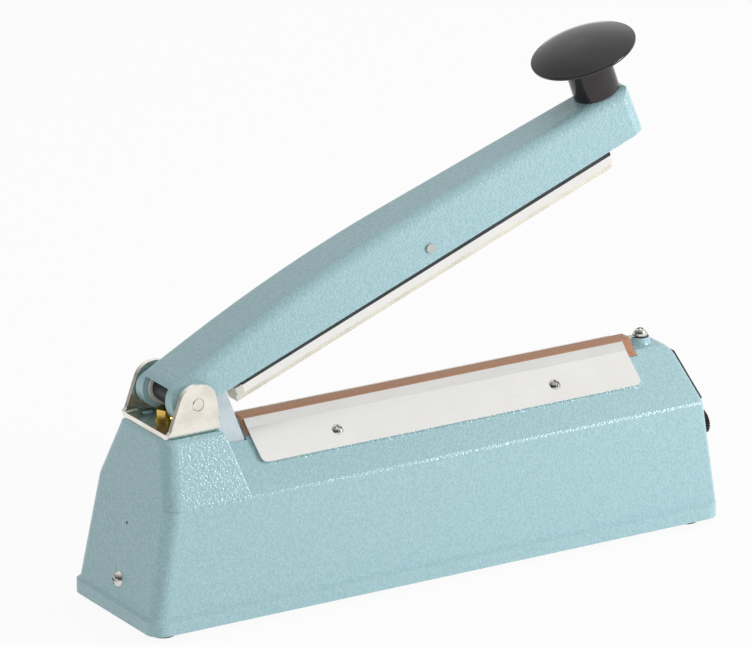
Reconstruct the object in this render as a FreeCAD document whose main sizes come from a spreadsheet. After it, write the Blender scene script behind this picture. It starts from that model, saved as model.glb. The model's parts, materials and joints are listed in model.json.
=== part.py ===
"""Impulse heat sealer: a cast base with a seal bar, and a hinged arm that carries the pressing jaw.

Millimetres. X runs along the base from the hinge to the timer, Y runs across it and Z is up.
The origin is on the table under the middle of the machine, timer knob included. The arm stands open.
"""
import FreeCAD, Part
import math
import os
import Sketcher

# Driving dimensions: millimetres, and degrees where the name says angle.
SIZES = {
    # cast base
    "base_length": 320, "base_width": 80, "foot_height": 4, "wall": 3,
    "skirt_height": 8, "skirt_ledge": 1.6, "side_ledge": 2.06, "corner_round": 8,
    "crease_height": 59.1, "crease_inset": 4.93, "roof_height": 82, "roof_top_width": 16,
    "roof_end_round": 4.5, "crease_round": 0.8,
    "rear_batter": 0.188, "front_batter": 0.125, "edge_round": 6.8, "front_edge_round": 2.5,
    "block_rise": 7.6, "block_top_width": 45, "block_top_length": 32.3, "block_foot_length": 46.3,
    "block_edge_round": 1.2, "block_top_round": 1.4, "slot_width": 24, "slot_length": 20.4, "slot_gap": 0.7,
    # bottom plate, feet and end screws
    "plate_sheet": 1.5, "plate_clearance": 0.5, "tab_width": 16, "tab_height": 22, "tab_clearance": 1.4,
    "end_screw_height": 17, "foot_radius": 6.5, "foot_inset": 12.5, "foot_side": 13.5, "foot_hole_radius": 1.7,
    "foot_recess_radius": 3.6, "foot_recess_depth": 2.2, "pilot_hole_radius": 0.9,
    "pilot_hole_height": 44.5,
    # fasteners
    "small_screw_radius": 1.5, "small_head_radius": 3, "small_head_height": 1.7, "small_nut_radius": 3.1,
    "small_nut_height": 2.4, "screw_radius": 2, "head_radius": 3.9, "head_height": 2.4, "nut_radius": 4,
    "nut_height": 3.2, "recess_width": 1.2, "recess_depth": 1.1, "hole_clearance": 0.15,
    "washer_sheet": 1, "bolt_radius": 2.5, "bolt_head_radius": 4.62, "bolt_head_height": 3.6,
    "bolt_nut_height": 4, "bolt_washer_radius": 5, "spring_washer_radius": 4.2, "spring_washer_sheet": 1.2,
    # hinge
    "bracket_sheet": 2.6, "bracket_length": 27.9, "bracket_width": 44, "bracket_rear_gap": 1.8,
    "bend_radius": 3.4, "ear_radius": 9.8,
    "pivot_height": 15.6, "pivot_inset": 16.4, "pin_radius": 3.2, "pin_proud": 0.2, "pin_chamfer": 0.5,
    "fit": 0.05,
    "bolt_inset": 11.2, "bracket_slot_spread": 26.6, "bracket_slot_length": 6,
    "bracket_slot_width": 3.4, "bracket_slot_inset": 9.3,
    "knuckle_radius": 11.3, "knuckle_width": 36.8, "window_width": 21, "sleeve_radius": 7,
    "sleeve_gap": 0.4, "ring_radius": 8.6, "ring_sheet": 1.2,
    # arm, in its own frame: from the pivot along the arm, and square to it
    "open_angle": 21, "arm_length": 270, "arm_wall": 2.6, "arm_roof": 3,
    "arm_rear": 12, "arm_rear_top": 11.4, "arm_crown_x": 79, "arm_crown": 22, "arm_crown_reach": 57.6,
    "arm_front_top": 17.5, "arm_front_low": -6.3, "arm_rear_low": -3.7,
    "arm_rear_width": 38.4, "arm_front_width": 28, "arm_rear_top_width": 31, "arm_front_top_width": 23,
    "arm_round": 6, "nose_batter": 0.03, "nose_proud": 2.4, "nose_round": 8, "nose_top_round": 4,
    "nose_reach": 6,
    # handle knob
    "knob_inset": 10.9, "stem_radius": 11.5, "stem_height": 22.2, "cap_radius": 26.3, "cap_rise": 7.4,
    "rim_rise": 1.5, "knob_screw_radius": 2.5, "knob_screw_grip": 10,
    # jaw
    "jaw_rear": 30.5, "jaw_front_gap": 18.5, "jaw_pin_share": 0.5263, "jaw_pin_z": 1.8,
    "jaw_pin_radius": 2.4,
    "carrier_width": 15, "carrier_top": -2, "carrier_low": -12.2, "lug_length": 18, "lug_top": 8,
    "channel_width": 13.6, "channel_wall": 1.2, "channel_low": -16.7, "silicone_width": 9,
    "silicone_low": -20.7,
    "silicone_chamfer": 1, "silicone_overhang": 4, "jaw_clearance": 0.15,
    # tongue, switch and spring
    "tongue_rear": 12, "tongue_front": 20, "tongue_sheet": 3, "tongue_top": 9, "lug_depth": 8,
    "yoke_width": 22, "yoke_top": -1.2, "yoke_low": -37,
    "cam_radius": 54.5, "cam_offset": 6, "cam_angle": 19, "cam_start_angle": 5, "cam_end_angle": 33,
    "switch_angle": 30.5, "switch_length": 28, "switch_tall": 16, "switch_width": 10, "plunger_radius": 1.5,
    "plunger_rise": 3, "plunger_gap": 0.3, "switch_hole_spread": 22, "switch_sheet": 1.5,
    "spring_pin_radius": 1.5, "spring_reach": 52, "spring_radius": 4, "spring_wire": 1, "spring_turns": 16,
    "spring_length": 44,
    # seal bar, cloth, clamps and element
    "seal_gap": 0.06, "seal_front_gap": 8.5, "seal_height": 5, "seal_top_width": 6.4, "cloth_sheet": 0.3,
    "cloth_drop": 3.2, "element_width": 2.6, "element_inset": 19, "element_sheet": 0.3,
    "clamp_rear_inset": 1.7, "clamp_front_inset": 5.5, "clamp_sheet": 1.2, "clamp_drop": 19.6,
    "clamp_rise": 1.2,
    "clamp_corner": 3.2, "clamp_screw_rear": 45.2, "clamp_screw_front": 46, "clamp_screw_drop": 10.4,
    "terminal_inset": 11.9, "boss_radius": 5.3, "boss_top_radius": 4.4, "boss_height": 3.5,
    "bush_radius": 2.8,
    "bush_flange": 0.6, "terminal_washer_radius": 3.6, "terminal_head_radius": 3.1,
    # front end
    "dial_sheet": 1, "dial_low": 23, "dial_drop": 3.6, "dial_edge": 2.2, "dial_side": 6.5,
    "timer_side": -9.5, "timer_height": 37.5,
    "timer_knob_radius": 6.8, "timer_knob_length": 10.8, "timer_knob_gap": 0.6, "timer_shaft_radius": 3,
    "pot_radius": 8, "pot_depth": 9, "pot_bush_radius": 3.6, "pot_nut_height": 2, "lamp_side": 10,
    "lamp_height": 57, "lamp_radius": 3.5, "lamp_bezel_radius": 5, "lamp_depth": 18, "lamp_proud": 3,
    # transformer and timer board
    "core_length": 66, "core_tall": 55, "core_stack": 34, "core_leg": 11, "winding_proud": 10,
    "winding_gap": 0.4, "transformer_place": 170, "strap_sheet": 1.5, "strap_foot": 11,
    "board_length": 56, "board_width": 50, "board_sheet": 1.6, "board_inset": 28, "standoff_height": 8,
    "standoff_radius": 3, "board_hole_inset": 5, "relay_length": 20, "relay_width": 15, "relay_height": 15,
    "capacitor_radius": 5, "capacitor_height": 16, "triac_width": 10, "triac_depth": 4,
    # mains lead gland
    "gland_inset": 55, "gland_height": 26, "gland_radius": 5.5, "gland_flange": 8, "gland_proud": 2.4,
    "gland_bore": 3.4,
}


class Size:
    """A number together with the sheet expression that gives it."""

    def __init__(self, value, text):
        self.value = float(value)
        self.text = text

    def __add__(self, other):
        other = as_size(other)
        return Size(self.value + other.value, f"({self.text} + {other.text})")

    def __sub__(self, other):
        other = as_size(other)
        return Size(self.value - other.value, f"({self.text} - {other.text})")

    def __mul__(self, other):
        other = as_size(other)
        return Size(self.value * other.value, f"({self.text} * {other.text})")

    def __truediv__(self, other):
        other = as_size(other)
        return Size(self.value / other.value, f"({self.text} / {other.text})")

    def __radd__(self, other):
        return as_size(other) + self

    def __rsub__(self, other):
        return as_size(other) - self

    def __rmul__(self, other):
        return as_size(other) * self

    def __neg__(self):
        return Size(-self.value, f"(-1 * {self.text})")


def as_size(number):
    return number if isinstance(number, Size) else Size(number, repr(float(number)))


def sine(angle):
    return Size(math.sin(math.radians(angle.value)), f"sin({angle.text} * 1 deg)")


def cosine(angle):
    return Size(math.cos(math.radians(angle.value)), f"cos({angle.text} * 1 deg)")


def slope_angle(rise, run):
    return Size(math.degrees(math.atan(rise.value / run.value)), f"(atan({rise.text} / {run.text}) / 1 deg)")


def root(square):
    return Size(math.sqrt(square.value), f"sqrt({square.text})")


doc = FreeCAD.newDocument("HeatSealer")
sheet = doc.addObject("Spreadsheet::Sheet", "Sizes")
for row, (alias, number) in enumerate(SIZES.items(), start=1):
    sheet.set(f"A{row}", alias)
    sheet.set(f"B{row}", str(number))
    sheet.setAlias(f"B{row}", alias)
doc.recompute()
D = type("Dims", (), {name: Size(value, f"Sizes.{name}") for name, value in SIZES.items()})
ZERO = as_size(0)


def bind(obj, prop, number):
    obj.setExpression(prop, as_size(number).text)


def place(obj, at=(0, 0, 0), axis=(0, 0, 1), angle=None):
    """Put an object at a point, turned about an axis."""
    turned = FreeCAD.Rotation(FreeCAD.Vector(*axis), as_size(angle or 0).value)
    obj.Placement = FreeCAD.Placement(FreeCAD.Vector(*[as_size(c).value for c in at]), turned)
    for letter, number in zip("xyz", at):
        bind(obj, f"Placement.Base.{letter}", number)
    if angle is not None:
        bind(obj, "Placement.Rotation.Angle", angle)
    return obj


def primitive(kind, name, sizes, at=(0, 0, 0), axis=(0, 0, 1), angle=None):
    obj = doc.addObject(f"Part::{kind}", name)
    for prop, number in sizes.items():
        bind(obj, prop, number)
    return place(obj, at, axis, angle)


def block(name, xs, ys, zs):
    """A box between two values on each axis."""
    spans = [as_size(b) - as_size(a) for a, b in (xs, ys, zs)]
    sizes = dict(zip(("Length", "Width", "Height"), spans))
    return primitive("Box", name, sizes, (xs[0], ys[0], zs[0]))


def rod(name, radius, ends, at, along="z"):
    """A cylinder between two values on its own axis; at gives the other two coordinates."""
    axis, angle = {"x": ((0, 1, 0), 90), "y": ((-1, 0, 0), 90), "z": ((0, 0, 1), None)}[along]
    start = {"x": (ends[0], at[0], at[1]), "y": (at[0], ends[0], at[1]), "z": (at[0], at[1], ends[0])}[along]
    sizes = {"Radius": radius, "Height": as_size(ends[1]) - as_size(ends[0])}
    return primitive("Cylinder", name, sizes, start, axis, angle)


def fuse(name, pieces):
    obj = doc.addObject("Part::MultiFuse", name)
    obj.Shapes = pieces
    obj.Refine = True
    return obj


def cut(name, base, tools):
    obj = doc.addObject("Part::Cut", name)
    obj.Base = base
    obj.Tool = tools[0] if len(tools) == 1 else fuse(name + "_tools", tools)
    return obj


def common(name, first, second):
    obj = doc.addObject("Part::Common", name)
    obj.Base = first
    obj.Tool = second
    return obj


def gather(name, pieces):
    obj = doc.addObject("Part::Compound", name)
    obj.Links = pieces
    return obj


def outline(sketch, corners):
    """Draw a closed outline through corners (x, y) or (x, y, round), each held by the sheet."""
    points = [FreeCAD.Vector(as_size(c[0]).value, as_size(c[1]).value, 0) for c in corners]
    count = len(points)
    rounds = [as_size(c[2]) if len(c) > 2 else None for c in corners]
    starts, ends, arcs = list(points), list(points), [None] * count
    for i, radius in enumerate(rounds):
        if radius is None:
            continue
        back = (points[i - 1] - points[i]).normalize()
        ahead = (points[(i + 1) % count] - points[i]).normalize()
        half = back.getAngle(ahead) / 2
        reach = radius.value / math.tan(half)
        ends[i] = points[i] + back * reach
        starts[i] = points[i] + ahead * reach
        centre = points[i] + (back + ahead).normalize() * (radius.value / math.sin(half))
        left_turn = back.cross(ahead).z < 0
        first, last = (ends[i], starts[i]) if left_turn else (starts[i], ends[i])
        angles = [math.atan2(p.y - centre.y, p.x - centre.x) for p in (first, last)]
        if angles[1] < angles[0]:
            angles[1] += 2 * math.pi
        circle = Part.Circle(centre, FreeCAD.Vector(0, 0, 1), radius.value)
        arcs[i] = (Part.ArcOfCircle(circle, *angles), 1 if left_turn else 2)
    lines = []
    for i in range(count):
        lines.append(sketch.addGeometry(Part.LineSegment(starts[i], ends[(i + 1) % count]), False))

    def hold(geo, pos, corner):
        for kind, number in zip(("DistanceX", "DistanceY"), corner[:2]):
            number = as_size(number)
            index = sketch.addConstraint(Sketcher.Constraint(kind, -1, 1, geo, pos, number.value))
            bind(sketch, f"Constraints[{index}]", number)

    for i, corner in enumerate(corners):
        before, after = lines[i - 1], lines[i]
        if arcs[i] is None:
            sketch.addConstraint(Sketcher.Constraint("Coincident", before, 2, after, 1))
            hold(after, 1, corner)
            continue
        shape, entry = arcs[i]
        arc = sketch.addGeometry(shape, False)
        tip = sketch.addGeometry(Part.Point(points[i]), True)
        sketch.addConstraint(Sketcher.Constraint("Tangent", before, 2, arc, entry))
        sketch.addConstraint(Sketcher.Constraint("Tangent", arc, 3 - entry, after, 1))
        index = sketch.addConstraint(Sketcher.Constraint("Radius", arc, rounds[i].value))
        bind(sketch, f"Constraints[{index}]", rounds[i])
        sketch.addConstraint(Sketcher.Constraint("PointOnObject", tip, 1, before))
        sketch.addConstraint(Sketcher.Constraint("PointOnObject", tip, 1, after))
        hold(tip, 1, corner)


def sketch_on(body, role, corners, offset=None):
    """A sketch on one of the body's own planes, moved along the plane's normal by offset."""
    plane = next(f for f in body.Origin.OriginFeatures if f.Role == role)
    sketch = body.newObject("Sketcher::SketchObject", body.Name + "_sketch")
    sketch.AttachmentSupport = [(plane, "")]
    sketch.MapMode = "FlatFace"
    if offset is not None:
        bind(sketch, "AttachmentOffset.Base.z", offset)
    outline(sketch, corners)
    return sketch


def new_body(name):
    return doc.addObject("PartDesign::Body", name)


def extrude(body, kind, sketch, length, symmetric=False):
    feature = body.newObject(f"PartDesign::{kind}", f"{body.Name}_{kind}")
    feature.Profile = sketch
    bind(feature, "Length", length)
    if symmetric:
        feature.SideType = "Symmetric"
    return feature


def loft(body, kind, first, *others):
    feature = body.newObject(f"PartDesign::{kind}", f"{body.Name}_{kind}")
    feature.Profile = first
    feature.Sections = list(others)
    feature.Ruled = True
    return feature


def revolve(name, corners):
    """Turn a half outline, given as (radius, height), about the body's Z axis."""
    body = new_body(name)
    sketch = sketch_on(body, "XZ_Plane", corners)
    feature = body.newObject("PartDesign::Revolution", name + "_turn")
    feature.Profile = sketch
    feature.ReferenceAxis = (sketch, ["V_Axis"])
    feature.Angle = 360
    return body


def plate(name, role, corners, thickness, symmetric=True):
    """A sheet or bar whose outline lies on one of its body's planes."""
    body = new_body(name)
    extrude(body, "Pad", sketch_on(body, role, corners), thickness, symmetric)
    return body


def round_edges(name, base, pick, radius):
    """Round the edges of a shape that pick accepts, by their middle points."""
    doc.recompute()
    obj = doc.addObject("Part::Fillet", name)
    obj.Base = base
    chosen = [i for i, edge in enumerate(base.Shape.Edges, start=1) if pick(edge)]
    obj.Edges = [(i, radius.value, radius.value) for i in chosen]
    return obj


def middle(edge):
    return edge.valueAt((edge.FirstParameter + edge.LastParameter) / 2)


def rectangle(xs, half_width, radius, front_radius=None):
    ahead = radius if front_radius is None else front_radius
    return [(xs[0], -half_width, radius), (xs[1], -half_width, ahead),
            (xs[1], half_width, ahead), (xs[0], half_width, radius)]


def cross_screw(name, radius, length, head_radius, head_height, at, axis=(0, 0, 1), angle=None):
    """A domed screw along its own Z, with the head above the origin and a cross recess."""
    ball = (head_radius * head_radius + head_height * head_height) / (head_height * 2)
    head = primitive("Sphere", name + "_head",
                     {"Radius": ball, "Angle1": slope_angle(ball - head_height, head_radius)},
                     (0, 0, head_height - ball))
    shank = rod(name + "_shank", radius, (-length, ZERO), (0, 0))
    arm_half = head_radius * 0.62
    top = (head_height - D.recess_depth, head_height + 1)
    slits = [block(name + "_slit_x", (-arm_half, arm_half), (-D.recess_width / 2, D.recess_width / 2), top),
             block(name + "_slit_y", (-D.recess_width / 2, D.recess_width / 2), (-arm_half, arm_half), top)]
    return place(cut(name, fuse(name + "_blank", [head, shank]), slits), at, axis, angle)


def hexagon(name, across_corners, height, at, hole=None):
    prism = primitive("Prism", name, {"Circumradius": across_corners, "Height": height}, at)
    prism.Polygon = 6
    if hole is None:
        return prism
    return cut(name + "_drilled", prism, [rod(name + "_bore", hole, (at[2] - 1, at[2] + height + 1), at[:2])])


# Heights and ends of the base, from its driving dimensions.
FLOOR = D.foot_height
SKIRT_TOP = FLOOR + D.skirt_height
CREASE = FLOOR + D.crease_height
ROOF = FLOOR + D.roof_height
BLOCK_TOP = ROOF + D.block_rise
HALF_LENGTH = D.base_length / 2
HALF_WIDTH = D.base_width / 2
FRONT_LEAN = slope_angle(D.front_batter, as_size(1))
REAR_LEAN = slope_angle(D.rear_batter, as_size(1))
TIMER_TOP = D.dial_sheet + D.pot_nut_height + D.timer_knob_gap + D.timer_knob_length
TIMER_REACH = (TIMER_TOP * cosine(FRONT_LEAN) + D.timer_knob_radius * sine(FRONT_LEAN) - D.skirt_ledge
               - (D.timer_height - D.skirt_height) * D.front_batter)
REAR_END = -HALF_LENGTH - TIMER_REACH / 2
FRONT_END = HALF_LENGTH - TIMER_REACH / 2
CREASE_HALF = D.base_width / 2 - D.crease_inset
ROOF_HALF = D.roof_top_width / 2
PLATE_TOP = FLOOR + D.plate_clearance + D.plate_sheet


def rear_at(height):
    return REAR_END + D.skirt_ledge + (height - SKIRT_TOP) * D.rear_batter


def front_at(height):
    return FRONT_END - D.skirt_ledge - (height - SKIRT_TOP) * D.front_batter


BLOCK_REAR = rear_at(BLOCK_TOP)
BRACKET_REAR = BLOCK_REAR + D.bracket_rear_gap
BRACKET_FRONT = BRACKET_REAR + D.bracket_length
PIVOT_X = BRACKET_REAR + D.pivot_inset
PIVOT_Z = BLOCK_TOP + D.pivot_height
SLOT_REAR = BRACKET_FRONT + D.slot_gap
SLOT_FRONT = SLOT_REAR + D.slot_length
SEAL_REAR = SLOT_FRONT + D.seal_gap
TERMINAL_X = front_at(ROOF) - D.terminal_inset
SEAL_FRONT = TERMINAL_X - D.seal_front_gap
CLAMP_REAR = SEAL_REAR + D.clamp_rear_inset
CLAMP_FRONT = SEAL_FRONT - D.clamp_front_inset
ELEMENT_REAR = SEAL_REAR + D.element_inset
GLAND_X = FRONT_END - D.gland_inset
KNOB_PLACE = D.arm_length - D.knob_inset
JAW_FRONT = D.arm_length - D.jaw_front_gap
JAW_PIN_X = D.arm_length * D.jaw_pin_share
ROOF_RISE = D.roof_height - D.crease_height
ROOF_RUN = CREASE_HALF - ROOF_HALF
ROOF_SLANT = root(ROOF_RISE * ROOF_RISE + ROOF_RUN * ROOF_RUN)
ROOF_ANGLE = slope_angle(ROOF_RISE, ROOF_RUN)
WALL_HALF = HALF_WIDTH - D.side_ledge
SIDE_LEAN = (WALL_HALF - CREASE_HALF) / (CREASE - SKIRT_TOP)
SIDE_AXIS = ((-1, 0, 0), 90 - slope_angle(SIDE_LEAN, as_size(1)))
BOLT_X = BRACKET_REAR + D.bolt_inset
OVALS = [(BRACKET_REAR + D.bracket_slot_inset, side * D.bracket_slot_spread / 2) for side in (-1, 1)]
FEET = [(x, sy * (HALF_WIDTH - D.foot_side))
        for x in (REAR_END + D.foot_inset, FRONT_END - D.foot_inset) for sy in (-1, 1)]


def on_roof(side, drop, height=ZERO):
    """A point on a roof slope: drop runs down it from the top edge, height stands off it."""
    across = ROOF_HALF + drop * ROOF_RUN / ROOF_SLANT + height * ROOF_RISE / ROOF_SLANT
    up = ROOF - drop * ROOF_RISE / ROOF_SLANT + height * ROOF_RUN / ROOF_SLANT
    return side * across, up


def on_front(side, height, stand=ZERO):
    """A point on the front end face, standing off it along its normal."""
    lean = root(1 + D.front_batter * D.front_batter)
    return (front_at(FLOOR + height) + stand / lean, as_size(side),
            FLOOR + height + stand * D.front_batter / lean)


CLAMP_SCREW_PLACES = (CLAMP_REAR + D.clamp_screw_rear, CLAMP_FRONT - D.clamp_screw_front)
CLAMP_SCREWS = [(x, side) for x in CLAMP_SCREW_PLACES for side in (-1, 1)]
FRONT_AXIS = ((0, 1, 0), 90 - FRONT_LEAN)
REAR_AXIS = ((0, 1, 0), REAR_LEAN - 90)


def along_front(name, radius, near, far, side, height):
    """A rod square to the front end face, between two distances from it."""
    start = on_front(side, height, near)
    return primitive("Cylinder", name, {"Radius": radius, "Height": far - near}, start, *FRONT_AXIS)


def along_side(name, radius, near, far):
    """A rod square to the far side wall where the mains lead enters, between two distances from it."""
    height = FLOOR + D.gland_height
    lean = root(1 + SIDE_LEAN * SIDE_LEAN)
    face = WALL_HALF - (height - SKIRT_TOP) * SIDE_LEAN
    start = (GLAND_X, face + near / lean, height + near * SIDE_LEAN / lean)
    return primitive("Cylinder", name, {"Radius": radius, "Height": far - near}, start, *SIDE_AXIS)


def oval(name, at, length, width, span):
    """The pieces of an upright bar with round ends, long along X."""
    run, half = (length - width) / 2, width / 2
    bar = block(name + "_middle", (at[0] - run, at[0] + run), (at[1] - half, at[1] + half), span)
    return [bar] + [rod(name + "_end", half, span, (at[0] + end * run, at[1])) for end in (-1, 1)]


def make_base_housing():
    body = new_body("base_shell")
    inner = D.wall
    steep = D.wall * ROOF_SLANT / ROOF_RISE
    wall_half = WALL_HALF
    skirt = rectangle((REAR_END, FRONT_END), HALF_WIDTH, D.corner_round)
    extrude(body, "Pad", sketch_on(body, "XY_Plane", skirt, FLOOR), D.skirt_height - D.skirt_ledge)
    soft = D.crease_round
    level = rectangle((rear_at(SKIRT_TOP), front_at(SKIRT_TOP)), wall_half, D.edge_round, D.front_edge_round)
    loft(body, "AdditiveLoft", sketch_on(body, "XY_Plane", skirt, SKIRT_TOP - D.skirt_ledge),
         sketch_on(body, "XY_Plane", level, SKIRT_TOP))
    walls = [sketch_on(body, "XY_Plane", level, SKIRT_TOP)]
    for height, half in ((CREASE - soft, CREASE_HALF + soft * SIDE_LEAN),
                         (CREASE + soft * ROOF_RISE / ROOF_SLANT, CREASE_HALF - soft * ROOF_RUN / ROOF_SLANT)):
        level = rectangle((rear_at(height), front_at(height)), half, D.edge_round, D.front_edge_round)
        walls.append(sketch_on(body, "XY_Plane", level, height))
    loft(body, "AdditiveLoft", *walls)
    roof = [sketch_on(body, "XY_Plane", level, height)]
    turn = D.roof_end_round
    for angle in (0, 30, 60, 90):
        height = ROOF - turn * (1 - math.sin(math.radians(angle)))
        end = front_at(height) - turn * (1 - math.cos(math.radians(angle)))
        half = ROOF_HALF + (ROOF - height) * ROOF_RUN / ROOF_RISE
        level = rectangle((rear_at(height), end), half, D.edge_round, D.front_edge_round)
        roof.append(sketch_on(body, "XY_Plane", level, height))
    loft(body, "AdditiveLoft", *roof)
    foot = rectangle((rear_at(CREASE), rear_at(CREASE) + D.block_foot_length), CREASE_HALF, D.edge_round,
                     D.block_edge_round)
    soft = D.block_top_round
    share = soft / (BLOCK_TOP - CREASE)
    brow = BLOCK_TOP - soft
    front = BLOCK_REAR + D.block_top_length
    foot_front = rear_at(CREASE) + D.block_foot_length
    half = D.block_top_width / 2
    neck = rectangle((rear_at(brow), front + (foot_front - front) * share),
                     half + (CREASE_HALF - half) * share, D.edge_round, D.block_edge_round)
    head = rectangle((BLOCK_REAR + soft, front - soft), half - soft, D.edge_round - soft, D.block_edge_round)
    for low, low_z, high, high_z in ((foot, CREASE, neck, brow), (neck, brow, head, BLOCK_TOP)):
        loft(body, "AdditiveLoft", sketch_on(body, "XY_Plane", low, low_z),
             sketch_on(body, "XY_Plane", high, high_z))
    bay_low = rectangle((rear_at(SKIRT_TOP) + inner, front_at(SKIRT_TOP) - inner), wall_half - inner, D.wall)
    bay_top = rectangle((rear_at(CREASE) + inner, front_at(CREASE) - inner), CREASE_HALF - inner, D.wall)
    mouth = extrude(body, "Pocket", sketch_on(body, "XY_Plane", bay_low, FLOOR), D.skirt_height)
    mouth.Reversed = True
    loft(body, "SubtractiveLoft", sketch_on(body, "XY_Plane", bay_low, SKIRT_TOP),
         sketch_on(body, "XY_Plane", bay_top, CREASE))
    roof_low = rectangle((rear_at(CREASE) + inner, front_at(CREASE) - inner), CREASE_HALF - steep, D.wall)
    roof_top = rectangle((rear_at(ROOF) + inner, front_at(ROOF) - inner),
                         ROOF_HALF + D.wall * ROOF_RUN / ROOF_RISE - steep, D.wall)
    loft(body, "SubtractiveLoft", sketch_on(body, "XY_Plane", roof_low, CREASE),
         sketch_on(body, "XY_Plane", roof_top, ROOF - inner))
    head_low = rectangle((rear_at(CREASE) + inner, rear_at(CREASE) + D.block_foot_length - inner * 2),
                         CREASE_HALF - inner, D.wall)
    head_top = rectangle((BLOCK_REAR + inner, BLOCK_REAR + D.block_top_length - inner),
                         D.block_top_width / 2 - inner, D.wall)
    loft(body, "SubtractiveLoft", sketch_on(body, "XY_Plane", head_low, CREASE),
         sketch_on(body, "XY_Plane", head_top, BLOCK_TOP - inner))

    rise = (D.boss_radius - D.boss_top_radius) / D.boss_height
    boss = primitive("Cone", "terminal_boss", {
        "Radius1": D.boss_radius + inner * rise, "Radius2": D.boss_top_radius, "Height": D.boss_height + inner},
        (TERMINAL_X, 0, ROOF - inner))
    anchor = block("anchor_post", (SPRING_FRONT, SPRING_FRONT + 6), (-4, 4), (SPRING_Z - 6, ROOF - inner / 2))
    slit = element_slit("roof_slit")
    slot = block("tongue_slot", (SLOT_REAR, SLOT_FRONT), (-D.slot_width / 2, D.slot_width / 2),
                 (CREASE + 10, BLOCK_TOP + 1))
    room = block("tongue_room", (SLOT_REAR - 6, SLOT_FRONT), (-D.slot_width / 2, D.slot_width / 2),
                 (CREASE + 10, BLOCK_TOP - inner))
    holes = [slot, room, slit]
    holes.append(rod("bolt_hole", D.bolt_radius + D.hole_clearance, (BLOCK_TOP - inner * 2, BLOCK_TOP + 1),
                     (BOLT_X, 0)))
    pads = []
    for at in OVALS:
        pads += oval("casting_pad", at, D.bracket_slot_length - 0.4, D.bracket_slot_width - 0.4,
                     (BLOCK_TOP - inner / 2, BLOCK_TOP + D.bracket_sheet + 0.1))
    for x, side in CLAMP_SCREWS:
        across, up = on_roof(side, D.clamp_screw_drop, -inner * 2)
        holes.append(primitive("Cylinder", "clamp_hole",
                               {"Radius": D.small_screw_radius + D.hole_clearance, "Height": inner * 3},
                               (x, across, up), (-side, 0, 0), ROOF_ANGLE))
    holes.append(rod("bush_hole", D.bush_radius + D.hole_clearance, (ROOF - inner * 2, ROOF + D.boss_height + 1),
                     (TERMINAL_X, 0)))
    for name, radius, side, height in (
            ("pot_hole", D.pot_bush_radius, D.timer_side, D.timer_height),
            ("lamp_hole", D.lamp_radius, D.lamp_side, D.lamp_height),
            ("front_screw_hole", D.screw_radius, ZERO, D.end_screw_height)):
        holes.append(along_front(name, radius + D.hole_clearance, -inner * 3, inner, side, height))
    for name, radius, height in (("rear_screw_hole", D.screw_radius + D.hole_clearance, D.end_screw_height),
                                 ("pilot_hole", D.pilot_hole_radius, D.pilot_hole_height)):
        start = (rear_at(FLOOR + height) + inner * 3, ZERO, FLOOR + height - inner * 3 * D.rear_batter)
        holes.append(primitive("Cylinder", name, {"Radius": radius, "Height": inner * 5}, start, *REAR_AXIS))
    holes.append(along_side("gland_hole", D.gland_radius + D.hole_clearance, -inner * 3, inner))
    return cut("base_housing", fuse("base_casting", [body, boss, anchor, *pads]), holes)


def make_bottom_plate():
    gap = D.wall + D.skirt_ledge + D.plate_clearance
    outline_flat = rectangle((REAR_END + gap, FRONT_END - gap), WALL_HALF - D.wall - D.plate_clearance, D.wall)
    flat = plate("plate_flat", "XY_Plane", outline_flat, D.plate_sheet, False)
    place(flat, (0, 0, FLOOR + D.plate_clearance))
    reach = (-D.tab_width / 2, D.tab_width / 2)
    height = D.end_screw_height
    rear = block("tab_rear", (ZERO, D.plate_sheet), reach, (ZERO, D.tab_height))
    inner = D.wall + D.tab_clearance
    place(rear, (rear_at(PLATE_TOP) + inner, -D.tab_width / 2, PLATE_TOP - 0.5), (0, 1, 0), REAR_LEAN)
    front = block("tab_front", (ZERO, D.plate_sheet), reach, (ZERO, D.tab_height))
    place(front, (front_at(PLATE_TOP) - inner - D.plate_sheet, -D.tab_width / 2, PLATE_TOP - 0.5),
          (0, -1, 0), FRONT_LEAN)
    holes = [along_front("tab_hole", D.screw_radius + D.hole_clearance, -D.wall * 5, D.wall, ZERO, height)]
    start = (rear_at(FLOOR + height) + D.wall * 5, ZERO, FLOOR + height - D.wall * 5 * D.rear_batter)
    holes.append(primitive("Cylinder", "tab_hole_rear",
                           {"Radius": D.screw_radius + D.hole_clearance, "Height": D.wall * 7}, start, *REAR_AXIS))
    for x, y in FEET:
        holes.append(rod("foot_hole", D.foot_hole_radius, (FLOOR, PLATE_TOP + 1), (x, y)))
    return cut("bottom_plate", fuse("plate_blank", [flat, rear, front]), holes)


def make_feet():
    feet, screws, nuts = [], [], []
    seat = D.foot_recess_depth
    top = FLOOR + D.plate_clearance
    for x, y in FEET:
        cone = primitive("Cone", "foot_cone", {"Radius1": D.foot_radius - 0.8, "Radius2": D.foot_radius,
                                               "Height": top}, (x, y, 0))
        bores = [rod("foot_bore", D.foot_hole_radius, (-1, top + 1), (x, y)),
                 rod("foot_recess", D.foot_recess_radius, (-1, seat), (x, y))]
        feet.append(cut("foot", cone, bores))
        screws.append(cross_screw("foot_screw", D.small_screw_radius, PLATE_TOP - seat + D.small_nut_height,
                                  D.small_head_radius, D.small_head_height, (x, y, seat), (1, 0, 0), as_size(180)))
        nuts.append(hexagon("foot_nut", D.small_nut_radius, D.small_nut_height, (x, y, PLATE_TOP),
                            D.small_screw_radius + D.hole_clearance))
    return gather("rubber_feet", feet), gather("foot_screws", screws), gather("foot_nuts", nuts)


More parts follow.
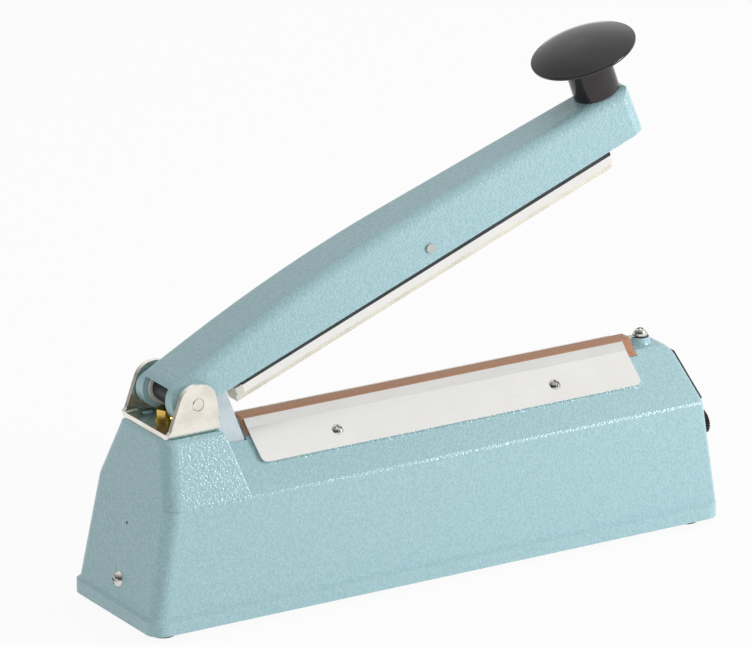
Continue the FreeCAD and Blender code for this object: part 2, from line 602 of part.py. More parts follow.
def make_end_screws():
    height = D.end_screw_height
    grip = D.wall + D.tab_clearance + D.plate_sheet + D.nut_height + 1
    front = cross_screw("end_screw_front", D.screw_radius, grip, D.head_radius, D.head_height,
                        on_front(ZERO, height), *FRONT_AXIS)
    rear = cross_screw("end_screw_rear", D.screw_radius, grip, D.head_radius, D.head_height,
                       (rear_at(FLOOR + height), ZERO, FLOOR + height), *REAR_AXIS)
    nuts = []
    stack = D.wall + D.tab_clearance + D.plate_sheet + 0.1
    for name, at, turn in (("end_nut_front", on_front(ZERO, height), FRONT_AXIS),
                           ("end_nut_rear", (rear_at(FLOOR + height), ZERO, FLOOR + height), REAR_AXIS)):
        nut = hexagon(name, D.nut_radius, D.nut_height, (ZERO, ZERO, -stack - D.nut_height),
                      D.screw_radius + D.hole_clearance)
        nuts.append(place(nut, at, *turn))
    return gather("end_screws", [front, rear]), gather("end_nuts", nuts)


def make_bracket():
    ear, thick = D.ear_radius, D.bracket_sheet
    crest, half = D.pivot_height + D.ear_radius, D.bracket_width / 2
    bent = plate("bracket_bend", "YZ_Plane", [
        (-half, ZERO, D.bend_radius), (half, ZERO, D.bend_radius), (half, crest + 1), (half - thick, crest + 1),
        (half - thick, thick, D.bend_radius - thick), (thick - half, thick, D.bend_radius - thick),
        (thick - half, crest + 1), (-half, crest + 1)], D.bracket_length, False)
    ears = plate("bracket_ears", "XZ_Plane", [
        (ZERO, -1), (D.bracket_length, -1), (D.bracket_length, D.pivot_height / 3),
        (D.pivot_inset + ear * 0.96, crest, ear * 0.98), (D.pivot_inset - ear * 0.725, crest, ear * 0.98),
        (as_size(1.5), thick + 1.5), (ZERO, thick)], D.bracket_width * 2)
    body = place(common("bracket_blank", bent, ears), (BRACKET_REAR, 0, BLOCK_TOP))
    holes = [rod("pin_hole", D.pin_radius, (-D.bracket_width, D.bracket_width), (PIVOT_X, PIVOT_Z), "y")]
    span = (BLOCK_TOP - 1, BLOCK_TOP + D.bracket_sheet + 1)
    holes.append(rod("bracket_hole", D.bolt_radius + D.hole_clearance, span, (BOLT_X, 0)))
    for at in OVALS:
        holes += oval("bracket_oval", at, D.bracket_slot_length, D.bracket_slot_width, span)
    return cut("hinge_bracket", body, holes)


def make_bracket_bolt():
    """One hex bolt with a flat washer and a spring washer, and its nut inside the casting."""
    at = (BOLT_X, ZERO)
    seat = BLOCK_TOP + D.bracket_sheet
    middle_z = seat + D.washer_sheet
    top = middle_z + D.spring_washer_sheet
    under = BLOCK_TOP - D.wall
    way = D.bolt_radius + D.hole_clearance
    head = hexagon("bolt_head", D.bolt_head_radius, D.bolt_head_height, (*at, top))
    shank = rod("bolt_shank", D.bolt_radius, (under - D.bolt_nut_height - 1, top), at)
    washers = []
    for radius, low, high in ((D.bolt_washer_radius, seat, middle_z), (D.spring_washer_radius, middle_z, top)):
        disc = rod("washer_disc", radius, (low, high), at)
        washers.append(cut("bracket_washer", disc, [rod("washer_bore", way, (low - 1, high + 1), at)]))
    nut = hexagon("bracket_hexagon", D.bolt_head_radius, D.bolt_nut_height,
                  (*at, under - D.bolt_nut_height), way)
    bolt = fuse("bracket_bolt", [head, shank])
    return bolt, gather("bracket_washers", washers), gather("bracket_nut", [nut])


def make_hinge_pin():
    half = D.bracket_width / 2 + D.pin_proud
    cut_back = D.pin_chamfer
    pin = revolve("hinge_pin", [
        (ZERO, -half), (D.pin_radius - cut_back, -half), (D.pin_radius, cut_back - half),
        (D.pin_radius, half - cut_back), (D.pin_radius - cut_back, half), (ZERO, half)])
    place(pin, (PIVOT_X, 0, PIVOT_Z), (1, 0, 0), as_size(90))
    at = (PIVOT_X, PIVOT_Z)
    outer = D.window_width / 2 - D.sleeve_gap
    reach = outer - D.ring_sheet
    tube = rod("sleeve_tube", D.sleeve_radius, (-reach, reach), at, "y")
    sleeve = cut("hinge_sleeve", tube, [rod("sleeve_bore", D.pin_radius + D.fit, (-half, half), at, "y")])
    rings = []
    for ends in ((-outer, -reach), (reach, outer)):
        bore = rod("ring_bore", D.pin_radius + D.fit, (-half, half), at, "y")
        rings.append(cut("hinge_ring", rod("ring_disc", D.ring_radius, ends, at, "y"), [bore]))
    return pin, sleeve, gather("hinge_rings", rings)


def on_arm(obj):
    """Turn a piece from the arm's own frame to where the open arm holds it."""
    return place(obj, (PIVOT_X, ZERO, PIVOT_Z), (0, -1, 0), D.open_angle)


def from_arm(along, square):
    """A point of the arm's own frame, in the base's frame with the arm open."""
    return (PIVOT_X + along * cosine(D.open_angle) - square * sine(D.open_angle),
            PIVOT_Z + along * sine(D.open_angle) + square * cosine(D.open_angle))


def arm_loft(name, inset, lid, low_reach):
    """A run of sections along the arm, each with rounded upper corners, drawn in by an inset."""
    rear_rise = (D.arm_crown - D.arm_rear_top) / D.arm_crown_x
    front_rise = (D.arm_crown - D.arm_front_top) / (D.arm_length - D.arm_crown_x)
    reach = D.arm_crown_reach
    bend = (rear_rise + front_rise) / (reach * 4)
    start, stop = ZERO, D.arm_length + D.nose_reach
    if lid:
        start, stop = inset, D.arm_length - inset - D.nose_reach / 2
    shares = [-1, -0.75, -0.5, -0.25, 0, 0.25, 0.5, 0.75, 1]
    rows = [(start, None)]
    rows += [(D.arm_crown_x + reach * share, reach * (1 - abs(share))) for share in shares]
    rows += [(stop, None)]
    body = new_body(name)
    sketches = []
    for x, sag in rows:
        along = x / D.arm_length
        top = D.arm_rear_top + rear_rise * x
        if x.value > D.arm_crown_x.value:
            top = D.arm_front_top + front_rise * (D.arm_length - x)
        if sag is not None:
            top = top - sag * sag * bend
        top = top - lid
        low = D.arm_rear_low + (D.arm_front_low - D.arm_rear_low) * along - low_reach
        wide = (D.arm_rear_width + (D.arm_front_width - D.arm_rear_width) * along) / 2 - inset
        narrow = (D.arm_rear_top_width + (D.arm_front_top_width - D.arm_rear_top_width) * along) / 2 - inset
        radius = D.arm_round - inset
        corners = [(-wide, low), (wide, low), (narrow, top, radius), (-narrow, top, radius)]
        sketches.append(sketch_on(body, "YZ_Plane", corners, x))
    loft(body, "AdditiveLoft", *sketches)
    return body


def nose_at(height):
    """How far the arm's leaning front end reaches, at a height square to the arm."""
    return D.arm_length + D.nose_proud + (height - D.arm_front_top) * D.nose_batter


def make_nose(run):
    """Give the arm's front end rounded upright edges and a rounded top edge."""
    plan = new_body("nose_plan")
    narrowing = (D.arm_front_width - D.arm_front_top_width) / 2 / (D.arm_front_top - D.arm_front_low)
    taper = (D.arm_rear_width - D.arm_front_width) / 2 / D.arm_length
    back = as_size(-40)
    levels = []
    for height in (as_size(-30), as_size(50)):
        front = nose_at(height)
        half = D.arm_front_width / 2 - (height - D.arm_front_low) * narrowing + 0.05
        wide = half + (front - back) * taper
        levels.append(sketch_on(plan, "XY_Plane", [
            (back, -wide), (front, -half, D.nose_round), (front, half, D.nose_round), (back, wide)], height))
    loft(plan, "AdditiveLoft", *levels)
    slope = (D.arm_crown - D.arm_front_top) / (D.arm_length - D.arm_crown_x)
    tip = nose_at(D.arm_front_top)
    low = as_size(-60)
    side = plate("nose_side", "XZ_Plane", [
        (back, low), (nose_at(low), low),
        (tip, D.arm_front_top - (tip - D.arm_length) * slope + 0.02, D.nose_top_round),
        (back, D.arm_front_top + (D.arm_length - back) * slope + 0.02)], D.arm_rear_width * 2)
    return common("arm_nosed", common("arm_rounded", run, plan), side)


def make_knuckles():
    """The two round bosses of the hinge, trimmed by the arm's own section carried back over them."""
    radius, half = D.knuckle_radius, D.knuckle_width / 2
    barrel = rod("knuckle_barrel", radius, (-half, half), (0, 0), "y")
    rise = (D.arm_crown - D.arm_rear_top) / D.arm_crown_x
    lean = (D.arm_rear_width - D.arm_rear_top_width) / 2 / (D.arm_rear_top - D.arm_rear_low)
    narrow, deep = D.arm_rear_top_width / 2, radius * 3
    cover = new_body("knuckle_cover")
    levels = []
    for x in (-radius * 1.5, radius * 1.5):
        top = D.arm_rear_top + rise * x
        wide = narrow + deep * lean
        levels.append(sketch_on(cover, "YZ_Plane", [
            (-wide, top - deep), (wide, top - deep), (narrow, top, D.arm_round), (-narrow, top, D.arm_round)], x))
    loft(cover, "AdditiveLoft", *levels)
    return common("arm_knuckles", barrel, cover)


def make_arm():
    soft = make_nose(arm_loft("arm_run", ZERO, 0, ZERO))
    knuckles = make_knuckles()
    half = D.knuckle_width / 2
    waist = [block("arm_waist", (-D.knuckle_radius * 2, D.arm_rear), (s * half, s * D.arm_rear_width), (-40, 60))
             if s > 0 else
             block("arm_waist", (-D.knuckle_radius * 2, D.arm_rear), (-D.arm_rear_width, -half), (-40, 60))
             for s in (-1, 1)]
    behind = block("arm_rear_web", (-D.knuckle_radius, D.arm_rear), (-D.arm_rear_width, D.arm_rear_width),
                   (-60, 60))
    hollow = cut("arm_hollow", arm_loft("arm_hollow_run", D.arm_wall, D.arm_roof, as_size(1)), [behind])
    lug = block("tongue_lug", (D.tongue_rear, D.tongue_front + 2), (D.tongue_sheet / 2, D.lug_depth),
                (ZERO, D.arm_rear_top))
    post = primitive("Cylinder", "knob_post", {"Radius": D.knob_screw_radius * 2.4, "Height": D.arm_roof * 2},
                     (KNOB_PLACE, 0, D.arm_front_top - D.arm_roof * 2))
    window = D.window_width / 2
    reach = D.knuckle_radius - 2.2
    cuts = [block("hinge_window", (-D.knuckle_radius * 2, reach), (-window, window), (-40, reach)),
            block("tongue_way", (ZERO, D.tongue_front + 2), (-window, D.tongue_sheet / 2),
                  (-40, D.tongue_top + 0.5)),
            rod("knuckle_bore", D.pin_radius + D.fit, (-half * 2, half * 2), (0, 0), "y"),
            rod("jaw_pin_hole", D.jaw_pin_radius, (-half * 2, half * 2), (JAW_PIN_X, D.jaw_pin_z), "y"),
            rod("knob_screw_hole", D.knob_screw_radius + D.hole_clearance * 3, (ZERO, D.arm_crown + 5),
                (KNOB_PLACE, 0))]
    for along, square in TONGUE_SCREWS:
        cuts.append(rod("tongue_screw_hole", D.small_screw_radius + D.hole_clearance, (ZERO, D.lug_depth + 1),
                        (along, square), "y"))
    trimmed = cut("arm_trimmed", fuse("arm_outer", [cut("arm_shell", cut("arm_narrowed", soft, waist), [hollow]),
                                                    knuckles, lug, post]), cuts)
    trimmed.Label = "arm"
    return on_arm(trimmed)


TONGUE_SCREWS = [((D.tongue_rear + D.tongue_front) / 2, D.tongue_top * share) for share in (0.25, 0.7)]
TOP_LEAN = slope_angle(D.arm_crown - D.arm_front_top, D.arm_length - D.arm_crown_x)
KNOB_SEAT = D.arm_front_top + (D.arm_length - KNOB_PLACE) * (D.arm_crown - D.arm_front_top) / (
    D.arm_length - D.arm_crown_x)


def make_knob():
    grip = D.knob_screw_grip
    bore = D.knob_screw_radius + D.hole_clearance
    stem, cap, neck = D.stem_radius, D.cap_radius, D.stem_height
    crown = neck + D.cap_rise
    body = revolve("handle_knob", [
        (bore, ZERO), (stem, ZERO, stem * 0.05), (stem, neck, stem * 0.09),
        (cap * 0.985, neck, cap * 0.02), (cap, neck + D.rim_rise, cap * 0.025), (cap * 0.5, crown, cap * 1.9),
        (ZERO, crown), (ZERO, grip), (bore, grip)])
    x, z = from_arm(KNOB_PLACE, KNOB_SEAT)
    place(body, (x, ZERO, z), (0, -1, 0), D.open_angle - TOP_LEAN)
    lean = D.open_angle - TOP_LEAN
    depth = KNOB_SEAT - D.arm_front_top + D.arm_roof * 2 + 0.15
    screw = cross_screw("knob_screw", D.knob_screw_radius, depth + grip - 1, D.head_radius, D.head_height,
                        (x + depth * sine(lean), ZERO, z - depth * cosine(lean)), (0, -1, 0), 180 + lean)
    return body, screw


def make_jaw():
    half = D.carrier_width / 2
    bar = block("carrier_bar", (D.jaw_rear, JAW_FRONT), (-half, half), (D.carrier_low, D.carrier_top))
    lug = block("carrier_lug", (JAW_PIN_X - D.lug_length / 2, JAW_PIN_X + D.lug_length / 2),
                (-half, half), (D.carrier_top, D.lug_top))
    pin_hole = rod("carrier_hole", D.jaw_pin_radius + D.fit, (-half * 2, half * 2), (JAW_PIN_X, D.jaw_pin_z), "y")
    carrier = on_arm(cut("jaw_carrier", fuse("carrier_blank", [bar, lug]), [pin_hole]))
    span = JAW_FRONT - D.jaw_rear
    wide, wall, rest = D.channel_width / 2, D.channel_wall, D.silicone_width / 2 + D.jaw_clearance
    web = D.carrier_low - wall
    channel = plate("channel_bar", "YZ_Plane", [
        (-wide, D.carrier_low), (-wide, D.channel_low), (-rest, D.channel_low), (-rest, web),
        (rest, web), (rest, D.channel_low), (wide, D.channel_low), (wide, D.carrier_low)], span, False)
    place(channel, (D.jaw_rear, 0, 0))
    strip_half, nose = D.silicone_width / 2, D.silicone_chamfer
    strip = plate("silicone_bar", "YZ_Plane", [
        (-strip_half, web), (-strip_half, D.silicone_low + nose), (-strip_half + nose, D.silicone_low),
        (strip_half - nose, D.silicone_low), (strip_half, D.silicone_low + nose), (strip_half, web)],
        span + D.silicone_overhang, False)
    start = D.jaw_rear - D.silicone_overhang
    place(strip, (start, 0, 0))
    end = block("silicone_end", (start, D.jaw_rear), (-wide, wide), (D.channel_low, D.carrier_low))
    rubber = fuse("silicone_blank", [strip, end])
    pieces = [carrier]
    for name, inner in (("jaw_channel", channel), ("silicone_strip", rubber)):
        holder = gather(name, [inner])
        pieces.append(on_arm(holder))
    reach = D.arm_rear_width / 2 * 0.86
    pin = rod("jaw_pin_rod", D.jaw_pin_radius, (-reach, reach), (JAW_PIN_X, D.jaw_pin_z), "y")
    holder = gather("jaw_pin", [pin])
    return pieces, on_arm(holder)


def cam_point(angle, radius):
    return radius * sine(angle), -radius * cosine(angle)


def make_tongue():
    reach = D.cam_radius + D.cam_offset * 2
    left = cam_point(D.cam_start_angle, reach)
    right = cam_point(D.cam_end_angle, reach)
    shoulder = cam_point(D.cam_end_angle, D.cam_radius * 0.87)
    blade = plate("tongue_blade", "XZ_Plane", [
        (D.tongue_rear, D.tongue_top), (D.tongue_rear, -D.cam_radius * 0.72), left, right, shoulder,
        (D.tongue_front, -D.cam_radius * 0.68), (D.tongue_front, D.tongue_top)], D.tongue_sheet)
    centre = (D.cam_offset * cosine(D.cam_angle), D.cam_offset * sine(D.cam_angle))
    disc = rod("cam_disc", D.cam_radius, (-D.tongue_sheet, D.tongue_sheet), centre, "y")
    stub_at = cam_point(D.cam_end_angle - 3, D.spring_reach)
    stub = rod("spring_stub", D.spring_pin_radius, (-D.spring_radius - 0.5, D.spring_radius + 0.5), stub_at, "y")
    holes = [rod("tongue_hole", D.small_screw_radius + D.hole_clearance, (-D.lug_depth, D.lug_depth), at, "y")
             for at in TONGUE_SCREWS]
    sheet_t, half = D.tongue_sheet / 2, D.yoke_width / 2
    tall = (D.yoke_low, D.yoke_top)
    rear, heel = D.tongue_rear + 0.3, D.tongue_rear - 4
    yoke = [block("yoke_web", (D.tongue_front - sheet_t, D.tongue_front), (-half, half), tall)]
    for side in (-1, 1):
        cheek = plate("yoke_cheek", "XZ_Plane", [
            (rear, D.yoke_top), (rear, D.yoke_low / 2), (heel, D.yoke_low * 0.61), (heel, D.yoke_low),
            (D.tongue_front, D.yoke_low), (D.tongue_front, D.yoke_top)], sheet_t)
        yoke.append(place(cheek, (0, side * (half - sheet_t / 2), 0)))
    solid = fuse("tongue_solid", [common("tongue_cam", blade, disc), stub, *yoke])
    drilled = cut("tongue_drilled", solid, holes)
    drilled.Label = "switch_tongue"
    screws = [cross_screw("tongue_screw", D.small_screw_radius, D.lug_depth, D.small_head_radius,
                          D.small_head_height, (at[0], -D.tongue_sheet / 2, at[1]), (1, 0, 0), as_size(90))
              for at in TONGUE_SCREWS]
    return on_arm(drilled), on_arm(gather("tongue_screws", screws))


SPRING_ANGLE = D.cam_end_angle - 3 + D.open_angle
SPRING_REAR = PIVOT_X + D.spring_reach * sine(SPRING_ANGLE) + D.spring_pin_radius + D.plunger_gap
SPRING_Z = PIVOT_Z - D.spring_reach * cosine(SPRING_ANGLE)
SPRING_FRONT = SPRING_REAR + D.spring_length + D.plunger_gap


def arc_between(start, heading, end):
    """The circular arc that leaves start along heading and reaches end."""
    chord = end - start
    square = chord - heading * chord.dot(heading)
    if square.Length < 1e-9:
        return Part.LineSegment(start, end).toShape()
    square.normalize()
    radius = chord.dot(chord) / (2 * chord.dot(square))
    centre = start + square * radius
    half = (start + end) / 2 - centre
    far = half.normalize() * radius if chord.dot(heading) > 0 else half.normalize() * -radius
    return Part.Arc(start, centre + far, end).toShape()


def make_spring():
    """A coil along X with a straight stub at each end, as one tube on pairs of arcs."""
    radius, wire = D.spring_radius.value, D.spring_wire.value
    turns = int(D.spring_turns.value)
    stub = wire / 2
    length = D.spring_length.value - stub * 2
    steps = turns * 4
    lead = length / (2 * math.pi * turns)

    def point(i):
        angle = i * math.pi / 2
        return FreeCAD.Vector(lead * angle, radius * math.sin(angle), radius * math.cos(angle))

    def heading(i):
        angle = i * math.pi / 2
        return FreeCAD.Vector(lead, radius * math.cos(angle), -radius * math.sin(angle)).normalize()

    edges = []
    for i in range(steps):
        start, end = point(i), point(i + 1)
        first, last = heading(i), heading(i + 1)
        chord = end - start
        both = 2 * (1 - first.dot(last))
        along = chord.dot(first + last)
        reach = (-along + math.sqrt(along * along + both * chord.dot(chord))) / both
        joint = (start + first * reach + end - last * reach) / 2
        edges.append(arc_between(start, first, joint))
        edges.append(arc_between(end, -last, joint))
    path = Part.Wire(Part.__sortEdges__(edges))
    ring = Part.Wire(Part.Circle(point(0), heading(0), wire / 2).toShape())
    tube = path.makePipeShell([ring], True, False)
    coil = doc.addObject("Part::Feature", "return_spring")
    coil.Shape = tube
    place(coil, (SPRING_REAR + D.spring_wire / 2, ZERO, SPRING_Z))
    print("return_spring least gap between turns", round(length / turns - wire, 2), "mm")
    return coil


def make_switch():
    angle = D.switch_angle
    rest = ROOT_CAM + D.plunger_gap
    top = rest + D.plunger_rise

    def spot(radial, tangential):
        return (PIVOT_X + radial * sine(angle) + tangential * cosine(angle),
                PIVOT_Z - radial * cosine(angle) + tangential * sine(angle))

    half, wide = D.switch_length / 2, D.switch_width / 2
    hole = D.small_screw_radius + D.hole_clearance
    case = block("switch_case", (-half, half), (-wide, wide), (-D.switch_tall, ZERO))
    screw_spots = [(side * D.switch_hole_spread / 2, -D.switch_tall * 0.7) for side in (-1, 1)]
    holes = [rod("switch_hole", hole, (-wide * 2, wide * 2), at, "y") for at in screw_spots]
    holes.append(rod("plunger_way", D.plunger_radius + D.fit, (-D.plunger_rise * 2, 1), (0, 0)))
    body = cut("microswitch", case, holes)
    x, z = spot(top, ZERO)
    place(body, (x, ZERO, z), (0, -1, 0), angle)
    button = rod("plunger_rod", D.plunger_radius, (-D.plunger_rise, D.plunger_rise), (0, 0))
    plunger = place(gather("switch_plunger", [button]), (x, ZERO, z), (0, -1, 0), angle)
    back = wide
    upright = block("switch_upright", (x - half * 0.95, x + half * 1.1), (back, back + D.switch_sheet),
                    (PLATE_TOP, z + D.switch_tall * 0.2))
    base = block("switch_base", (x - half * 0.95, x + half * 1.1), (back, back + D.switch_width * 1.5),
                 (PLATE_TOP, PLATE_TOP + D.switch_sheet))
    bracket_holes, screws = [], []
    for tangential, down in screw_spots:
        at = spot(top - down, tangential)
        bracket_holes.append(rod("bracket_screw_hole", hole, (back - 1, back + D.switch_sheet + 1), at, "y"))
        screws.append(cross_screw("switch_screw", D.small_screw_radius, D.switch_width + D.switch_sheet + 1,
                                  D.small_head_radius, D.small_head_height, (at[0], -wide, at[1]),
                                  (1, 0, 0), as_size(90)))
    bracket = cut("switch_bracket", fuse("switch_bracket_blank", [upright, base]), bracket_holes)
    return body, plunger, bracket, gather("switch_screws", screws)


CAM_REST_ANGLE = D.switch_angle - D.open_angle - D.cam_angle
ROOT_CAM = D.cam_offset * sine(CAM_REST_ANGLE) + root(
    D.cam_radius * D.cam_radius - D.cam_offset * D.cam_offset * cosine(CAM_REST_ANGLE) * cosine(CAM_REST_ANGLE))


def element_slit(name):
    """The slit through the seal bar and the roof for the heating element's rear end."""
    half, gap = D.element_width / 2, D.hole_clearance
    return block(name, (ELEMENT_REAR - gap, ELEMENT_REAR + D.element_sheet + gap), (-half - gap, half + gap),
                 (ROOF - D.wall * 2, SEAL_TOP + 1))


def make_seal_bar():
    top = ROOF + D.seal_height
    half, groove = D.seal_top_width / 2, D.element_width / 2 + 0.1
    bar = plate("seal_bar_body", "YZ_Plane", [
        (-ROOF_HALF, ROOF), (ROOF_HALF, ROOF), (half, top), (groove, top), (groove, top - D.element_sheet),
        (-groove, top - D.element_sheet), (-groove, top), (-half, top)], SEAL_FRONT - SEAL_REAR, False)
    place(bar, (SEAL_REAR, 0, 0))
    return cut("seal_bar", bar, [element_slit("bar_slit")])


SEAL_TOP = ROOF + D.seal_height
SEAL_RUN = ROOF_HALF - D.seal_top_width / 2
SEAL_SLANT = root(D.seal_height * D.seal_height + SEAL_RUN * SEAL_RUN)


def over_seal(drop, height, rise=None):
    """Half section of a sheet over the seal bar at a height off it: end, bend and upper end."""
    lower = on_roof(1, drop, height)
    n1 = (ROOF_RISE / ROOF_SLANT, ROOF_RUN / ROOF_SLANT)
    n2 = (D.seal_height / SEAL_SLANT, SEAL_RUN / SEAL_SLANT)
    spread = 1 + n1[0] * n2[0] + n1[1] * n2[1]
    bend = (ROOF_HALF + height * (n1[0] + n2[0]) / spread, ROOF + height * (n1[1] + n2[1]) / spread)
    stop = D.seal_height if rise is None else D.seal_height - rise
    upper = (ROOF_HALF - SEAL_RUN * stop / D.seal_height + height * n2[0],
             ROOF + stop + height * n2[1])
    return lower, bend, upper


def make_cloth():
    low, high = over_seal(D.cloth_drop, ZERO), over_seal(D.cloth_drop, D.cloth_sheet)
    crest = SEAL_TOP + D.cloth_sheet
    half = D.seal_top_width / 2
    reach = D.cloth_sheet * (1 - SEAL_RUN / SEAL_SLANT) * SEAL_SLANT / D.seal_height
    outer = [high[0], high[1], (half + reach, crest)]
    inner = [low[0], low[1], (half, SEAL_TOP)]
    mirror = [(-y, z) for y, z in reversed(outer)]
    mirror_in = [(-y, z) for y, z in inner]
    corners = outer + mirror + mirror_in + list(reversed(inner))
    sheet_body = plate("cloth_body", "YZ_Plane", corners, SEAL_FRONT - SEAL_REAR, False)
    place(sheet_body, (SEAL_REAR, 0, 0))
    return gather("cover_cloth", [sheet_body])


def make_clamps():
    plates = []
    low = over_seal(D.clamp_drop, D.cloth_sheet, D.clamp_rise)
    high = over_seal(D.clamp_drop, D.cloth_sheet + D.clamp_sheet, D.clamp_rise)
    for name, side in (("clamp_plate_front", -1), ("clamp_plate_back", 1)):
        corners = [(side * y, z) for y, z in list(low) + list(reversed(high))]
        body = plate(name + "_bar", "YZ_Plane", corners, CLAMP_FRONT - CLAMP_REAR, False)
        place(body, (CLAMP_REAR, 0, 0))
        reach = abs(low[0][0].value)
        soft = round_edges(name + "_soft", body, lambda e: e.Length < D.clamp_sheet.value * 1.2
                           and abs(middle(e).y) > reach - 0.5, D.clamp_corner)
        holes = []
        for x in CLAMP_SCREW_PLACES:
            across, up = on_roof(side, D.clamp_screw_drop)
            holes.append(primitive("Cylinder", "clamp_screw_hole", {
                "Radius": D.small_screw_radius + D.hole_clearance, "Height": as_size(5)},
                (x, across, up), (-side, 0, 0), ROOF_ANGLE))
        plates.append(cut(name, soft, holes))
    screws = []
    for x, side in CLAMP_SCREWS:
        across, up = on_roof(side, D.clamp_screw_drop, D.cloth_sheet + D.clamp_sheet)
        screws.append(cross_screw("clamp_screw", D.small_screw_radius, D.wall * 2 + D.clamp_sheet,
                                  D.small_head_radius, D.small_head_height, (x, across, up),
                                  (-side, 0, 0), ROOF_ANGLE))
    return plates + [gather("clamp_screws", screws)]


def make_element():
    low, high = SEAL_TOP - D.element_sheet, SEAL_TOP
    rest = ROOF + D.boss_height + D.bush_flange
    ribbon = D.element_sheet
    step = 2
    end = TERMINAL_X + D.terminal_washer_radius
    rear = ELEMENT_REAR + D.element_sheet
    tail = ROOF - D.wall - D.plate_sheet
    corners = [(rear, tail), (rear, low), (SEAL_FRONT, low), (SEAL_FRONT + step, rest), (end, rest),
               (end, rest + ribbon), (SEAL_FRONT + step, rest + ribbon), (SEAL_FRONT, high),
               (rear - ribbon, high), (rear - ribbon, tail)]
    strip = plate("element_strip", "XZ_Plane", corners, D.element_width)
    hole = rod("element_hole", D.small_screw_radius + D.hole_clearance, (ROOF, SEAL_TOP + 5), (TERMINAL_X, 0))
    widened = rod("element_eye", D.small_head_radius + 0.4, (rest, rest + ribbon), (TERMINAL_X, 0))
    return cut("heating_element", fuse("element_blank", [strip, widened]), [hole])


def make_terminals():
    at = (TERMINAL_X, ZERO)
    seat = ROOF + D.boss_height
    hole = D.small_screw_radius + D.hole_clearance
    sleeve = rod("bush_sleeve", D.bush_radius, (ROOF - D.wall, seat), at)
    flange = rod("bush_rim", D.boss_top_radius - 0.4, (seat, seat + D.bush_flange), at)
    bush = cut("terminal_bush", fuse("bush_blank", [sleeve, flange]),
               [rod("bush_bore", hole, (ROOF - 9, seat + 5), at)])
    top = seat + D.bush_flange + D.element_sheet
    disc = rod("terminal_disc", D.terminal_washer_radius, (top, top + D.washer_sheet), at)
    washer = cut("terminal_washer", disc,
                 [rod("terminal_disc_bore", hole, (top - 1, top + 3), at)])
    screw = cross_screw("terminal_screw", D.small_screw_radius, D.wall * 5, D.terminal_head_radius, D.head_height,
                        (*at, top + D.washer_sheet))
    nut = gather("terminal_nut", [hexagon("terminal_hexagon", D.small_nut_radius, D.small_nut_height,
                                          (*at, ROOF - D.wall - D.small_nut_height), hole)])
    tail = ELEMENT_REAR + D.element_sheet
    lug = block("rear_terminal", (tail, tail + D.boss_radius * 2), (-D.bush_radius, D.bush_radius),
                (ROOF - D.wall - D.plate_sheet, ROOF - D.wall))
    return [bush, washer, screw, nut, lug]


def make_front_panel():
    lean = FRONT_LEAN
    half_low, half_bend = CREASE_HALF - D.dial_side, CREASE_HALF - D.dial_edge
    low, bend, top = D.dial_low, D.crease_height + 1, D.roof_height - D.dial_drop
    half_bend = half_bend - ROOF_RUN / ROOF_RISE
    half_top = half_bend - (top - bend) * ROOF_RUN / ROOF_RISE
    right = [(half_low, low, as_size(3)), (half_low, bend - 2), (half_bend, bend), (half_top, top)]
    corners = right + [(-c[0], *c[1:]) for c in reversed(right)]
    tall = root(1 + D.front_batter * D.front_batter)
    corners = [(c[0], (c[1] - low) * tall, *c[2:]) for c in corners]
    face = plate("dial_face", "YZ_Plane", corners, D.dial_sheet, False)
    place(face, on_front(ZERO, low), (0, -1, 0), lean)
    holes = [along_front("dial_pot_hole", D.pot_bush_radius + D.hole_clearance, -D.wall, D.wall, D.timer_side,
                         D.timer_height),
             along_front("dial_lamp_hole", D.lamp_radius + D.hole_clearance, -D.wall, D.wall, D.lamp_side,
                         D.lamp_height)]
    dial = cut("dial_plate", face, holes)
    sheet_top, back = D.dial_sheet, -D.wall
    spot = (D.timer_side, D.timer_height)
    way = D.timer_shaft_radius + D.fit
    nut_top = sheet_top + D.pot_nut_height
    pot_body = fuse("pot_blank", [
        along_front("pot_can", D.pot_radius, back - D.pot_depth, back, *spot),
        along_front("pot_bush", D.pot_bush_radius, back, nut_top, *spot)])
    pot = cut("potentiometer", pot_body, [along_front("pot_way", way, back - D.pot_depth + 2, nut_top + 1, *spot)])
    ring = along_front("pot_nut_disc", D.pot_bush_radius + 2, sheet_top, nut_top, *spot)
    nut = cut("potentiometer_nut", ring, [along_front("pot_nut_bore", D.pot_bush_radius + D.fit, ZERO,
                                                      nut_top + 1, *spot)])
    knob_low = nut_top + D.timer_knob_gap
    knob_top = knob_low + D.timer_knob_length
    socket = knob_top - 3
    knob_cup = cut("timer_knob", along_front("timer_cap", D.timer_knob_radius, knob_low, knob_top, *spot),
                   [along_front("timer_socket", D.timer_shaft_radius, knob_low - 1, socket, *spot)])
    shaft = along_front("timer_shaft", D.timer_shaft_radius, back - D.pot_depth + 2.3, socket, *spot)
    lamp_spot = (D.lamp_side, D.lamp_height)
    lamp = fuse("indicator_lamp", [
        along_front("lamp_tube", D.lamp_radius, sheet_top - D.lamp_depth, sheet_top, *lamp_spot),
        along_front("lamp_bezel", D.lamp_bezel_radius, sheet_top, sheet_top + D.lamp_proud, *lamp_spot)])
    return [dial, pot, nut, knob_cup, shaft, lamp]


